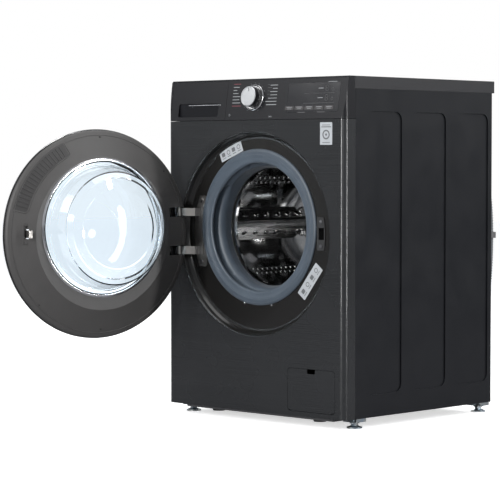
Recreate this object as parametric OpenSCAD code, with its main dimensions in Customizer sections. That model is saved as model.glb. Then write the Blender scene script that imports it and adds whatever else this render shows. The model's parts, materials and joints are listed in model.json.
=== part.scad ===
// Front load washing machine, standing on its four feet with the door open.
// Right is +X, back is +Y and up is +Z. The origin is the centre of the four feet, on the floor.

/* [Cabinet] */
// Width across the side panels
body_w = 600; // [592:1:760]
// Depth from the front panel to the back of the top plate
body_d = 590; // [570:1:740]
// Height to the top of the top plate
body_h = 850; // [840:1:1040]
// Thickness of the steel sheets
sheet = 1; // [0.8:0.1:1.4]
// Radius of the upright front corners
corner_r = 15; // [10:1:20]
// Height of the cabinet's lower edge above the floor
skirt_z = 25; // [23:1:32]
// Depth of the front panel's side returns
seam_back = 41; // [36:1:48]
// Thickness of the top plate
top_t = 30; // [22:1:36]
// How far the top plate reaches behind the rear panel
rear_lip = 15; // [8:1:20]
// Depth of the panels pressed into the sides
press_t = 3; // [2:0.5:5]

/* [Control panel] */
// Height of the control panel
panel_h = 102; // [96:1:115]
// How far its face leans back over its height
panel_lean = 15; // [8:1:20]
// Wall of the plastic mouldings
wall = 2.5; // [2:0.1:3]
// Diameter of the programme knob
dial_d = 50; // [40:1:56]
// How far the knob stands out
dial_t = 22; // [14:1:28]
// Outer diameter of the ring around the knob
dial_ring_d = 66; // [62:1:72]
// Width of the detergent drawer's front
drawer_w = 194; // [170:1:215]

/* [Door] */
// Outer radius of the door
door_r = 260; // [256:1:266]
// Height of the door's centre
door_z = 465; // [455:1:475]
// Angle at which the door stands open
door_open = 103; // [0:1:120]
// Radius of the door's glass opening
glass_r = 170; // [164:1:174]
// Depth of the glass bowl
bowl_depth = 75; // [55:1:80]
// Radius of the recess pressed into the front panel
recess_r = 254; // [250:1:255]
// Depth of the recess floor behind the front panel
recess_depth = 20; // [16:1:24]
// Radius of the porthole in the front panel
porthole_r = 184; // [182:1:188]

/* [Tub and drum] */
// Height of the drum's axis
axis_z = 482; // [475:1:490]
// Outer radius of the drum
drum_r = 240; // [200:1:244]
// Length of the drum
drum_len = 344; // [280:1:350]
// Radius of the drum's mouth
mouth_r = 150; // [130:1:152]
// Gap between the drum and the tub
drum_gap = 12; // [8:1:14]
// Wall of the tub
tub_t = 5; // [3:0.5:6]
// Height of the three lifters in the drum
lifter_h = 52; // [40:1:70]
// Diameter of the drive shaft
shaft_d = 25; // [20:1:32]
// Number of stator teeth
stator_teeth = 36; // [24:6:42]

/* [Suspension and base] */
// Diameter of a foot's pad
pad_d = 38; // [32:1:44]
// Distance of the feet from the side panels
foot_inset = 25; // [23:1:34]
// Diameter of a foot's threaded stem
stem_d = 10; // [8:1:12]
// Outer diameter of the suspension springs
spring_d = 24; // [18:1:28]
// Diameter of the spring wire
wire_d = 3.6; // [3:0.2:4.5]
// Outer diameter of the dampers
damper_d = 34; // [28:1:38]

/* [Water] */
// Outer diameter of the drain hose
hose_d = 27; // [22:1:30]
// Outer diameter of the water inlet's thread
inlet_d = 26.4; // [20:0.2:28]
// Width of the service flap
flap_w = 153.5; // [130:0.5:160]
// Height of the service flap
flap_h = 104; // [90:1:110]

/* [Hidden] */
$fn = 96;

// clearances
fit = 0.3;
gap = 0.8;
e = 0.01;

// levels and planes of the cabinet
front_overhang = 67;
rear_overhang = 35;
foot_x = body_w / 2 - foot_inset;
foot_y = (body_d - front_overhang - rear_overhang) / 2;
y_front = -foot_y - front_overhang;
y_back = foot_y + rear_overhang;
y_seam = y_front + seam_back;
y_rear = y_back - rear_lip;
z_panel = body_h - panel_h;
z_plate = body_h - top_t;
x_side = body_w / 2;

// colours
black_steel = [0.15, 0.155, 0.165];
dark_steel = [0.11, 0.11, 0.12];
black_plastic = [0.07, 0.07, 0.075];
grey_plastic = [0.30, 0.30, 0.31];
frame_grey = [0.22, 0.21, 0.205];
tub_white = [0.80, 0.81, 0.80];
rubber_grey = [0.30, 0.35, 0.40];
steel = [0.72, 0.72, 0.73];
zinc = [0.60, 0.64, 0.68];

// control panel, its sloping face and what sits on it
face_z0 = z_panel;
face_z1 = body_h - 4;
tilt = atan(panel_lean / (face_z1 - face_z0));
plate_y0 = y_seam - 3;
dial_x = -5;
dial_z = z_panel + 55;
window_x = 193;
window_z = z_panel + 52;
window_w = 168;
window_h = 72;
drawer_x0 = -x_side + 8;
drawer_x1 = drawer_x0 + drawer_w;
handle_w = 141;
tray_x0 = drawer_x0 + 12;
tray_x1 = drawer_x1 - 10;
tray_z0 = z_panel + 11;
tray_z1 = z_plate - 12;
tray_y0 = y_front + 30;
tray_y1 = plate_y0 + 232;

// side pressings and the openings in the rear panel
press_z0 = skirt_z + 53;
press_z1 = z_plate - 52;
press_z = (press_z0 + press_z1) / 2;
press_w = (y_rear - y_seam - 130) / 3;
cover_w = 400;
cover_h = 430;
cover_z = 420;
outlet_x = 238;
outlet_z = 110;
inlet_x = -215;
inlet_z = z_plate - 42;
gland_x = -250;
gland_z = z_plate - 200;
transit_x = 232;
transit_z = [300, 560];

// recess round the door opening: a ring of [radius, depth behind the front]
recess_line = [[recess_r, 0], [recess_r - 1.5, 0.8], [recess_r - 3, 3], [recess_r - 6, 10],
    [recess_r - 10, recess_depth - 4], [recess_r - 13, recess_depth - 1.2],
    [recess_r - 17, recess_depth], [140, recess_depth]];
recess_back = [[140, recess_depth + sheet], [recess_r - 16.5, recess_depth + sheet],
    [recess_r - 12.2, recess_depth - 0.4], [recess_r - 9, recess_depth - 3.2],
    [recess_r - 5, 10.4], [recess_r - 2, 3.4], [recess_r + 1, sheet + 0.4],
    [recess_r + 3, sheet], [recess_r + 3, 0]];
floor_y = y_front + recess_depth;
flap_x = x_side - 30 - flap_w / 2;
flap_z = skirt_z + 12 + flap_h / 2;

// hinge, lock and door
hinge_x = -door_r + 19.7;
hinge_y = y_front - 17;
hinge_z = door_z + 3;
hinge_plate_x = -recess_r + 51;
hinge_screw_x = hinge_plate_x + 8;
arm_dz = 48.5;
arm_h = 20;
lock_x = recess_r - 46;
lock_z = door_z + 5;
rim_y = hinge_y;
inner_y = y_front + 13;
glass_z = axis_z - 1;
cover_y = rim_y - 26;
cover_r = door_r - 46;
hook_x = lock_x + 1;
hook_z = lock_z - 1;
hook_pin_y = inner_y - 14.5;

// drum and tub along the axis
drum_y0 = y_front + 97;
drum_y1 = drum_y0 + drum_len;
tub_ri = drum_r + drum_gap;
tub_ro = tub_ri + tub_t;
tub_y0 = drum_y0 - 20;
tub_split = drum_y0 + drum_len * 0.45;
tub_y1 = drum_y1 + 30;
neck_y = drum_y0 - 38;
neck_r = mouth_r + 7;
hub_r = 38;
bearing_r = 26;
shaft_y1 = tub_y1 + 62;

// springs hang from the cabinet's top flanges and carry the tub's upper lugs
spring_x = x_side - 28;
spring_y = -20;
spring_gap = 26;
lug_z = axis_z + 118;
lug_w = 36;
lug_x = sqrt(pow(tub_ro, 2) - pow(lug_z - axis_z, 2)) - 8;

// dampers stand between the base and the tub's lower lugs
damper_base_x = x_side - 92;
damper_z0 = 84;
damper_tub_x = tub_ro * 0.62;
damper_z1 = axis_z - sqrt(pow(tub_ro, 2) - pow(damper_tub_x, 2)) - 16;
damper_run = [damper_tub_x - damper_base_x, damper_z1 - damper_z0];
damper_len = norm(damper_run);
damper_lean = atan2(damper_run[0], damper_run[1]);

// base
pan_z = 17;
pan_top = 62;
boss_r = 17;
bumper_x = 173;
bumper_y = [y_front + 56, y_rear - 90];

// water path
fill_x = -195;
fill_y = -110;
fill_z = axis_z + 194;
pump_x = flap_x;
pump_z = 92;
pump_y0 = y_front + 16;
sump_x = 92;
sump_y = -128;
sump_z = 208;

// centre line of the drain hose, clipped to the back of the cabinet
hose_y = 291;
hose_line = [[238, 140], [240, 170], [248, 220], [257, 275], [265, 340], [269, 400], [270, 455],
    [268, 510], [262, 565], [252, 620], [236, 665], [208, 706], [168, 732], [120, 741],
    [72, 732], [32, 706], [6, 665], [-6, 615], [-8, 560], [-8, 500], [-8, 440],
    [-8, 390]];
hose_points = [for (p = hose_line) [p[0], hose_y, p[1]]];
hose_sides = 12;
// each clip: [x, z, turn from upright]
clip_places = [[270, 455, 0], [120, 741, 90], [3, 652, 13.5]];

// ---- helpers ----

// turn a shape so that its own Z runs back along +Y
module along_y(x = 0, y = 0, z = 0) {
    translate([x, y, z]) rotate([-90, 0, 0]) children();
}

// a box between two corners
module box(a, b) {
    translate(a) cube(b - a);
}

// a rectangle with rounded corners, centred
module round_rect(w, h, r) {
    square([w - 2 * r, h], center = true);
    square([w, h - 2 * r], center = true);
    for (sx = [-1, 1], sy = [-1, 1])
        translate([sx * (w / 2 - r), sy * (h / 2 - r)]) circle(r);
}

// a tube about its own Z
module tube(r_out, r_in, h) {
    difference() {
        cylinder(r = r_out, h = h);
        translate([0, 0, -1]) cylinder(r = r_in, h = h + 2);
    }
}

// outline of the front corners seen from above, inset by a wall
module front_plan(inset, y_end) {
    r = corner_r - inset;
    x = x_side - inset;
    y = y_front + inset;
    translate([-x, y + r]) square([2 * x, y_end - y - r]);
    translate([-x + r, y]) square([2 * (x - r), r + e]);
    for (s = [-1, 1]) translate([s * (x - r), y + r]) circle(r);
}

// a countersunk-looking screw head with its shank, along its own Z
module screw(head_d, shank_d, length) {
    cylinder(d = shank_d, h = length);
    translate([0, 0, -head_d * 0.3]) cylinder(d = head_d, h = head_d * 0.3);
}

// a solid swept along points; each section faces the matching direction
function way(p, i) = let (a = p[max(i - 1, 0)], b = p[min(i + 1, len(p) - 1)]) (b - a) / norm(b - a);
function section(p, f, i, r, n) =
    let (t = way(p, i), v = cross(t, f) / norm(cross(t, f)), u = cross(v, t))
    [for (k = [0:n - 1]) p[i] + r * (cos(360 * k / n) * u + sin(360 * k / n) * v)];

module sweep(path, facing, r, n) {
    last = len(path) - 1;
    points = [for (i = [0:last]) each section(path, facing[i], i, r, n)];
    sides = [for (i = [0:last - 1], k = [0:n - 1])
        let (a = i * n + k, b = i * n + (k + 1) % n)
        each [[a, b, b + n], [a, b + n, a + n]]];
    polyhedron(points, concat(sides, [[for (k = [n - 1:-1:0]) k], [for (k = [0:n - 1]) last * n + k]]),
        convexity = 20);
}

// ---- cabinet ----

function press_y(i) = y_seam + 40 + press_w / 2 + i * (press_w + 38);

module pressed_panel(side, i) {
    translate([side * x_side, press_y(i), press_z])
        rotate([90, 0, side * 90]) children();
}

module cabinet_wrap() color(dark_steel) {
    difference() {
        union() {
            difference() {
                box([-x_side, y_seam, skirt_z], [x_side, y_rear, z_plate - fit]);
                box([-x_side + sheet, y_seam - 1, skirt_z - 1],
                    [x_side - sheet, y_rear - sheet, z_plate + 1]);
            }
            for (s = [-1, 1], i = [0:2]) pressed_panel(s, i)
                translate([0, 0, -press_t - sheet]) linear_extrude(press_t + sheet)
                    round_rect(press_w, press_z1 - press_z0, 24);
            for (s = [0, 1]) mirror([s, 0, 0]) {
                box([x_side - 46, y_seam, z_plate - fit - sheet], [x_side - e, y_rear - e, z_plate - fit]);
                box([x_side - 15, y_seam, pan_top + 4], [x_side - e, y_seam + sheet, z_panel - 10]);
            }
        }
        for (s = [-1, 1], i = [0:2]) pressed_panel(s, i)
            translate([0, 0, -press_t]) linear_extrude(press_t + 1)
                round_rect(press_w - 4, press_z1 - press_z0 - 4, 22);
        box([-cover_w / 2 + 20, y_rear - 2, cover_z - cover_h / 2 + 20],
            [cover_w / 2 - 20, y_rear + 1, cover_z + cover_h / 2 - 20]);
        along_y(outlet_x, y_rear - 2, outlet_z) cylinder(r = 16, h = 4);
        along_y(inlet_x, y_rear - 2, inlet_z) cylinder(r = inlet_d / 2 + 2, h = 4);
        along_y(gland_x, y_rear - 2, gland_z) cylinder(r = 10, h = 4);
        for (s = [-1, 1], z = transit_z)
            along_y(s * transit_x, y_rear - 2, z) cylinder(r = 14, h = 4);
        for (s = [-1, 1]) translate([s * spring_x, spring_y, z_plate - 4])
            cylinder(d = wire_d + 2 * fit, h = 6);
    }
}

module front_panel() color(black_steel) {
    top_z = z_panel - 1;
    difference() {
        union() {
            difference() {
                translate([0, 0, skirt_z]) linear_extrude(top_z - skirt_z) front_plan(0, y_seam - gap / 2);
                translate([0, 0, skirt_z - 1]) linear_extrude(top_z - skirt_z + 2)
                    front_plan(sheet, y_seam + 1);
                along_y(0, y_front - 1, door_z) cylinder(r = recess_r + 2, h = 4, $fn = 160);
            }
            along_y(0, y_front, door_z) rotate_extrude($fn = 160)
                polygon(concat(recess_line, recess_back));
            box([-x_side + corner_r, y_front + e, top_z - sheet], [x_side - corner_r, y_front + 14, top_z]);
            box([-x_side + corner_r, y_front + e, skirt_z],
                [x_side - corner_r, y_front + 10, skirt_z + sheet]);
        }
        along_y(0, y_front - 1, axis_z) cylinder(r = porthole_r, h = 40, $fn = 160);
        translate([flap_x, y_front - 1, flap_z]) rotate([-90, 0, 0]) linear_extrude(8)
            round_rect(flap_w + 2 * gap, flap_h + 2 * gap, 10);
        box([lock_x - 9, y_front + 2, lock_z - 17], [lock_x + 13, y_front + 40, lock_z + 17]);
        for (z = [-1, 1]) {
            along_y(lock_x + 2, y_front, lock_z + z * 30) cylinder(d = 5, h = 40);
            along_y(hinge_screw_x, y_front, hinge_z + z * 78) cylinder(d = 6, h = 40);
        }
    }
}

// ---- control panel: its section is [y, z] ----

function face_y(z) = y_front + panel_lean * (z - face_z0) / (face_z1 - face_z0);

// place a shape on the sloping face: its own Z points out of the face, its own Y up the face
module on_face(x, z) {
    translate([x, face_y(z), z]) rotate([90 - tilt, 0, 0]) children();
}

module panel_section(inset) {
    polygon([[y_front + inset, z_panel + inset], [face_y(face_z1) + inset, face_z1 - inset],
        [face_y(face_z1) + 4 + inset, body_h - inset], [plate_y0 - gap / 2, body_h - inset],
        [plate_y0 - gap / 2, z_plate - gap], [y_seam - gap / 2, z_plate - gap],
        [y_seam - gap / 2, z_panel + inset]]);
}

module panel_solid(inset) {
    intersection() {
        translate([-x_side - 1, 0, 0]) rotate([90, 0, 90]) linear_extrude(body_w + 2)
            panel_section(inset);
        translate([0, 0, z_panel - 1]) linear_extrude(panel_h + 2) front_plan(inset, y_seam + 1);
    }
}

// the hollow behind the face, open at the back
module panel_core() {
    intersection() {
        translate([0, wall, 0]) panel_solid(0);
        box([-x_side + wall, y_front, z_panel + wall], [x_side - wall, y_seam + 10, body_h - wall]);
    }
}

module control_panel() color(black_plastic) {
    difference() {
        panel_solid(0);
        difference() {
            panel_core();
            on_face(dial_x, dial_z) translate([0, 0, -14]) cylinder(d = 30, h = 14);
        }
        box([drawer_x0 - gap, y_front - 1, z_panel - 1],
            [drawer_x1 + gap, y_seam + 1, body_h - 3]);
        on_face(dial_x, dial_z) translate([0, 0, -20]) cylinder(r = 6 + fit, h = 30);
        on_face(dial_x, dial_z) translate([0, 0, -1.2]) cylinder(d = dial_ring_d + fit, h = 4);
        on_face(window_x, window_z) translate([0, 0, -1.5]) linear_extrude(4)
            round_rect(window_w + fit, window_h + fit, 3);
        on_face(window_x, window_z) translate([0, 0, -10]) linear_extrude(12)
            round_rect(window_w - 8, window_h - 8, 3);
    }
}

module display_window() color([0.05, 0.05, 0.06])
    on_face(window_x, window_z) translate([0, 0, -1.4]) linear_extrude(1.6)
        round_rect(window_w - fit, window_h - fit, 3);

module dial_ring() color(steel)
    on_face(dial_x, dial_z) translate([0, 0, -1.1]) rotate_extrude()
        polygon([[13, 0], [dial_ring_d / 2 - fit, 0], [dial_ring_d / 2 - fit, 2.4],
            [dial_ring_d / 2 - 1.6, 3.4], [dial_ring_d / 2 - 4.6, 1.8], [13, 1.6]]);

module dial() color(steel)
    on_face(dial_x, dial_z) {
        translate([0, 0, 1.2]) rotate_extrude()
            polygon([[0, 0], [dial_d / 2 + 1, 0], [dial_d / 2 + 1, 3], [dial_d / 2, 5],
                [dial_d / 2, dial_t - 2.5], [dial_d / 2 - 1.2, dial_t - 1.2],
                [dial_d / 2 - 2.5, dial_t - 1.2], [dial_d / 2 - 3, dial_t - 1.8], [0, dial_t - 1.8]]);
        translate([0, 0, -18]) cylinder(r = 6, h = 19.5);
    }

module controller() color([0.16, 0.16, 0.17]) {
    box([95, plate_y0 + 12, z_panel + 12], [x_side - 24, plate_y0 + 125, z_plate - 8]);
    on_face(window_x - 8, window_z - 4) translate([-92, -34, -16]) cube([184, 66, 5]);
}

module top_plate() color(dark_steel)
    translate([0, 0, z_plate]) difference() {
        linear_extrude(top_t) {
            translate([-x_side, plate_y0]) square([body_w, y_back - plate_y0 - 8]);
            translate([-x_side + 8, y_back - 9]) square([body_w - 16, 9]);
            for (s = [-1, 1]) translate([s * (x_side - 8), y_back - 8]) circle(8);
        }
        box([-x_side + 12, plate_y0 + 20, -1], [x_side - 12, y_rear - 20, 6]);
    }

module rear_cover() color(dark_steel) {
    along_y(0, y_rear + fit, cover_z) difference() {
        linear_extrude(sheet) round_rect(cover_w, cover_h, 12);
        translate([0, 0, -1]) cylinder(r = 150, h = 4);
    }
    along_y(0, y_rear + fit + sheet - e, cover_z) rotate_extrude()
        polygon([[150, 0], [143, 6], [0, 6], [0, 7], [144, 7], [152, 0]]);
}

// ---- base ----

module at_feet() {
    for (sx = [-1, 1], sy = [-1, 1]) translate([sx * foot_x, sy * foot_y, 0]) children();
}

module base_pan() color(grey_plastic) {
    x1 = x_side - sheet - 1.2;
    y0 = y_front + sheet + 14;
    y1 = y_rear - sheet - 1.2;
    difference() {
        union() {
            difference() {
                box([-x1, y0, skirt_z + 1.5], [x1, y1, pan_top]);
                box([-x1 + 4, y0 + 4, skirt_z + 5], [x1 - 4, y1 - 4, pan_top + 1]);
            }
            difference() {
                box([-x1 + 48, y0 + 3, pan_z], [x1 - 48, y1 - 42, skirt_z + 2]);
                box([-x1 + 52, y0 + 7, pan_z + 3], [x1 - 52, y1 - 46, skirt_z + 6]);
            }
            for (i = [-3:3]) box([i * 62 - 2, y0 + 4, pan_z], [i * 62 + 2, y1 - 43, skirt_z + 4]);
            at_feet() translate([0, 0, skirt_z]) cylinder(r = boss_r, h = pan_top - skirt_z - 6);
            for (s = [0, 1]) mirror([s, 0, 0]) for (y = [-22, 14])
                box([damper_base_x - 14, y, skirt_z + 2], [damper_base_x + 14, y + 8, damper_z0 + 12]);
        }
        at_feet() translate([0, 0, 10]) cylinder(d = stem_d + 2 * fit, h = pan_top);
        box([-x1 + 52, y0 + 30, pan_z - 1], [-x1 + 92, y0 + 70, pan_z + 4]);
        for (s = [-1, 1]) along_y(s * damper_base_x, -40, damper_z0) cylinder(d = 8 + fit, h = 80);
        for (sx = [-1, 1], y = bumper_y) translate([sx * bumper_x, y, pan_z - 1])
            cylinder(d = 14 + fit, h = 5);
        box([pump_x - 46, y0 - 1, pan_top - 8], [pump_x + 46, y0 + 6, pan_top + 1]);
        for (s = [0, 1]) mirror([s, 0, 0]) translate([-x_side + 62, 60, pan_z - 1]) cylinder(r = 9, h = 14);
    }
}

module base_bumpers() color(black_plastic)
    for (sx = [-1, 1], y = bumper_y) translate([sx * bumper_x, y, 0]) {
        translate([0, 0, 9]) cylinder(d = 32, h = pan_z - 9 - e);
        translate([0, 0, 9]) cylinder(d = 14, h = pan_z - 5);
    }

// one levelling foot: pad, hexagon and threaded stem, with its loose lock nut on the stem
module foot() color(zinc) {
    cylinder(d = pad_d, h = 3.5);
    translate([0, 0, 3.4]) cylinder(d1 = pad_d - 3, d2 = stem_d + 9, h = 3.6, $fn = 48);
    translate([0, 0, 6.9]) cylinder(d = stem_d + 8, h = 5.1, $fn = 6);
    translate([0, 0, 11.9]) cylinder(d = stem_d, h = 40);
    translate([0, 0, 12.3]) difference() {
        union() {
            cylinder(d = stem_d + 9, h = 5, $fn = 6);
            cylinder(d = stem_d + 14, h = 1.2);
        }
        translate([0, 0, -1]) cylinder(d = stem_d + 0.2, h = 9);
    }
}

module foot_front_left() translate([-foot_x, -foot_y, 0]) foot();
module foot_front_right() translate([foot_x, -foot_y, 0]) foot();
module foot_rear_left() translate([-foot_x, foot_y, 0]) foot();
module foot_rear_right() translate([foot_x, foot_y, 0]) foot();

// ---- detergent drawer ----

module drawer_front() color(black_plastic) {
    cx = (drawer_x0 + drawer_x1) / 2;
    difference() {
        intersection() {
            panel_solid(0);
            box([drawer_x0, y_front - 1, z_panel + e], [drawer_x1, tray_y0 - e, body_h - 3 - gap]);
        }
        translate([cx, y_front + 9, z_panel + 26]) rotate([90, 0, 0]) linear_extrude(20)
            round_rect(handle_w, 34, 6);
    }
}

module drawer_tray() color(grey_plastic) {
    y0 = tray_y0;
    difference() {
        box([tray_x0, y0, tray_z0], [tray_x1, tray_y1, tray_z1]);
        box([tray_x0 + wall, y0 + wall, tray_z0 + wall], [tray_x0 + 58, tray_y1 - wall, tray_z1 + 1]);
        box([tray_x0 + 58 + wall, y0 + wall, tray_z0 + wall], [tray_x0 + 108, tray_y1 - wall, tray_z1 + 1]);
        box([tray_x0 + 108 + wall, y0 + wall, tray_z0 + wall],
            [tray_x1 - wall, tray_y1 - wall, tray_z1 + 1]);
    }
}

module drawer_housing() color(tub_white) {
    y0 = plate_y0 + 1.5;
    difference() {
        union() {
            box([tray_x0 - 1 - wall, y0, tray_z0 - 1 - wall],
                [tray_x1 + 1 + wall, tray_y1 + 4 + wall, z_plate - 5]);
            translate([fill_x, fill_y, tray_z0 - 22]) cylinder(r = 20, h = 22);
        }
        box([tray_x0 - 1, y0 - 1, tray_z0 - 1], [tray_x1 + 1, tray_y1 + 4, z_plate - 5 - wall]);
        translate([fill_x, fill_y, tray_z0 - 30]) cylinder(r = 17, h = 32);
    }
}

// ---- door opening, lock and hinge ----

// keeps plates that lie on the recess floor inside its step
module on_recess_floor() {
    intersection() {
        children();
        along_y(0, y_front, door_z) cylinder(r = recess_r - 32, h = 40);
    }
}

module door_lock() color(black_plastic) {
    difference() {
        union() {
            on_recess_floor() box([lock_x - 12, floor_y - 1.8, lock_z - 40],
                [lock_x + 19, floor_y - 0.2, lock_z + 40]);
            box([lock_x - 8.5, floor_y - 1, lock_z - 16.5], [lock_x + 12.5, floor_y + 2, lock_z + 16.5]);
            box([lock_x - 15, floor_y + sheet + fit, lock_z - 40], [lock_x + 19, floor_y + 22, lock_z + 40]);
        }
        box([lock_x - 6.5, floor_y - 6, lock_z - 14.5], [lock_x + 10.5, floor_y + 20, lock_z + 14.5]);
        for (z = [-1, 1]) along_y(lock_x + 2, floor_y - 6, lock_z + z * 30) cylinder(d = 4.4, h = 22);
    }
}

// one curved strap from the hinge plate to the knuckle, seen from above
module strap_outline() {
    polygon([[hinge_plate_x - 3, floor_y - 3], [hinge_plate_x - 8, floor_y - 12],
        [hinge_plate_x - 24, hinge_y + 12], [hinge_x + 2, hinge_y + 4.5],
        [hinge_x + 2, hinge_y - 1], [hinge_plate_x - 22, hinge_y + 5],
        [hinge_plate_x - 3, floor_y - 17], [hinge_plate_x + 4, floor_y - 3]]);
}

module hinge_bracket() color(steel) {
    difference() {
        union() {
            on_recess_floor() along_y(hinge_plate_x, floor_y - 3.2, hinge_z) linear_extrude(3)
                round_rect(50, 180, 8);
            on_recess_floor() box([hinge_plate_x - 12, floor_y - 5.5, hinge_z - 60],
                [hinge_plate_x + 14, floor_y - 3.1, hinge_z + 60]);
            for (s = [-1, 1]) {
                translate([0, 0, hinge_z + s * arm_dz - arm_h / 2]) linear_extrude(arm_h) strap_outline();
                translate([hinge_x, hinge_y, hinge_z + s * arm_dz - arm_h / 2]) cylinder(r = 6.5, h = arm_h);
            }
        }
        translate([hinge_x, hinge_y, 0]) cylinder(r = 3 + 0.05, h = body_h);
        along_y(0, floor_y - 10, axis_z) cylinder(r = porthole_r + 8, h = 20);
        for (z = [-1, 1]) along_y(hinge_screw_x, floor_y - 12, hinge_z + z * 78) cylinder(d = 5.4, h = 16);
    }
}

module screws() color(steel) {
    for (z = [-1, 1]) {
        along_y(hinge_screw_x, floor_y - 3.2, hinge_z + z * 78) screw(11, 5, 16);
        along_y(lock_x + 2, floor_y - 1.8, lock_z + z * 30) screw(8, 4, 16);
    }
    for (sx = [-1, 1], z = [-1, 0, 1])
        translate([sx * (cover_w / 2 - 10), y_rear + fit + sheet, cover_z + z * (cover_h / 2 - 24)])
            rotate([-90, 0, 0]) cylinder(d = 9, h = 3);
    for (sx = [-1, 1]) translate([sx * (x_side - 90), y_rear + e, z_plate + 12])
        rotate([-90, 0, 0]) translate([0, 0, rear_lip]) cylinder(d = 9, h = 3);
}

// gasket section: [radius, depth behind the front]; its bead sits on the porthole's edge
module door_gasket() color(rubber_grey)
    along_y(0, y_front, axis_z) rotate_extrude($fn = 128)
        polygon([[porthole_r + 6, recess_depth - 0.3], [porthole_r - 4, recess_depth - 0.3],
            [porthole_r - 19, recess_depth], [porthole_r - 21, recess_depth + 5],
            [neck_r - 1, neck_y - y_front - 6], [neck_r - 1, neck_y - y_front + 14],
            [neck_r - 4, neck_y - y_front + 14], [neck_r - 4, neck_y - y_front - 7],
            [porthole_r - 24, recess_depth + 6], [porthole_r - 24, recess_depth - 2],
            [porthole_r - 22, recess_depth - 5], [porthole_r, recess_depth - 5],
            [porthole_r + 5, recess_depth - 3.5], [porthole_r + 7, recess_depth - 1.5]]);

// ---- water path ----

module inlet_valve() color([0.78, 0.80, 0.80]) {
    along_y(inlet_x, y_rear + fit, inlet_z) tube(inlet_d / 2, 7, 20);
    along_y(inlet_x, y_rear - sheet - 12, inlet_z)
        cylinder(r = inlet_d / 2 - 0.6, h = 12 + sheet + fit + e);
    along_y(inlet_x, y_rear - sheet - 40, inlet_z) cylinder(r = 12, h = 29);
    box([inlet_x - 16, y_rear - 62, inlet_z - 16], [inlet_x + 16, y_rear - 40, inlet_z + 22]);
    along_y(inlet_x, tray_y1 + 7.5, inlet_z) cylinder(r = 8, h = y_rear - 61 - tray_y1 - 7.5);
}

module filter_cap() color([0.20, 0.30, 0.36]) {
    along_y(pump_x, pump_y0 - 7, pump_z) difference() {
        cylinder(r = 31, h = 12);
        translate([0, 0, -1]) tube(26, 6, 9);
    }
    translate([pump_x - 27, pump_y0 - 12, pump_z - 4]) cube([54, 9, 8]);
    along_y(pump_x, pump_y0 + 4.9, pump_z) difference() {
        cylinder(r = 22, h = 78);
        translate([0, 0, 6]) cylinder(r = 20, h = 80);
        for (a = [0:60:300]) rotate([0, 0, a]) translate([10, -5, 14]) cube([20, 10, 54]);
    }
}

module drain_pump() color(grey_plastic) {
    y_motor = pump_y0 + 100;
    difference() {
        union() {
            along_y(pump_x, pump_y0 + 6, pump_z) cylinder(r = 34, h = 108);
            along_y(pump_x, y_motor + 14 - e, pump_z) cylinder(r = 29, h = 52);
            translate([sump_x, sump_y, pump_z - 24]) cylinder(r = 19, h = 80);
            box([sump_x, sump_y - 16, pump_z - 20], [pump_x - 20, sump_y + 16, pump_z + 12]);
            box([pump_x - 40, pump_y0 + 30, skirt_z + 5.5], [pump_x + 40, pump_y0 + 90, pump_z - 20]);
            along_y(outlet_x, pump_y0 + 60, outlet_z) cylinder(r = 12, h = 40);
            box([pump_x, pump_y0 + 62, outlet_z - 8], [outlet_x, pump_y0 + 96, outlet_z + 8]);
        }
        along_y(pump_x, pump_y0 - 1, pump_z) cylinder(r = 31.6, h = 8.2);
        along_y(pump_x, pump_y0, pump_z) cylinder(r = 22 + gap, h = 92);
        translate([sump_x, sump_y, pump_z - 12]) cylinder(r = 16, h = 80);
        box([sump_x, sump_y - 12, pump_z - 12], [pump_x - 22, sump_y + 12, pump_z + 6]);
    }
}

// tube from the pump, through the rear panel, ending in an upright elbow
module drain_outlet() color(grey_plastic) {
    y0 = pump_y0 + 100 + e;
    along_y(outlet_x, y0, outlet_z) cylinder(r = 12, h = hose_y - y0);
    translate([outlet_x, hose_y, outlet_z]) sphere(r = 12);
    translate([outlet_x, hose_y, outlet_z]) cylinder(r = 12, h = hose_line[0][1] - outlet_z - 1);
    along_y(outlet_x, y_rear + fit, outlet_z) cylinder(r = 21, h = 3);
}

module drain_hose() color(rubber_grey)
    sweep(hose_points, [for (p = hose_points) [0, 1, 0]], hose_d / 2, hose_sides);

module hose_cuff() color(black_plastic) {
    end = hose_points[len(hose_points) - 1];
    translate([end[0], end[1], end[2] - 60]) difference() {
        cylinder(r = hose_d / 2 + 0.5, h = 60);
        translate([0, 0, -1]) cylinder(r = 9.5, h = 40);
    }
}

// clips stand on the rear panel and hold the hose between two fingers
module hose_clip(x, z, turn) {
    w = hose_d / 2 + 1.2;
    translate([x, y_rear + fit, z]) rotate([0, turn, 0]) {
        box([-w - 3, 0, -8], [w + 3, hose_y - y_rear - w - fit, 8]);
        for (s = [0, 1]) mirror([s, 0, 0])
            box([w, 0, -8], [w + 3, hose_y - y_rear + 8, 8]);
    }
}

module hose_clips() color(grey_plastic) {
    for (p = clip_places) hose_clip(p[0], p[1], p[2]);
    box([x_side - 42, y_rear + fit, 239], [x_side - 22, y_rear + 10, 254]);
}

module cord_gland() color(black_plastic)
    along_y(gland_x, y_rear - 10, gland_z) difference() {
        union() {
            cylinder(r = 9.5, h = 22);
            translate([0, 0, 10 + fit]) cylinder(r = 15, h = 5);
        }
        translate([0, 0, -1]) cylinder(r = 4, h = 30);
    }

module transit_caps() color(grey_plastic)
    for (s = [-1, 1], z = transit_z) along_y(s * transit_x, y_rear, z) {
        translate([0, 0, fit]) cylinder(r = 18, h = 3);
        translate([0, 0, -12]) cylinder(r = 13.5, h = 13);
    }

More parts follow.
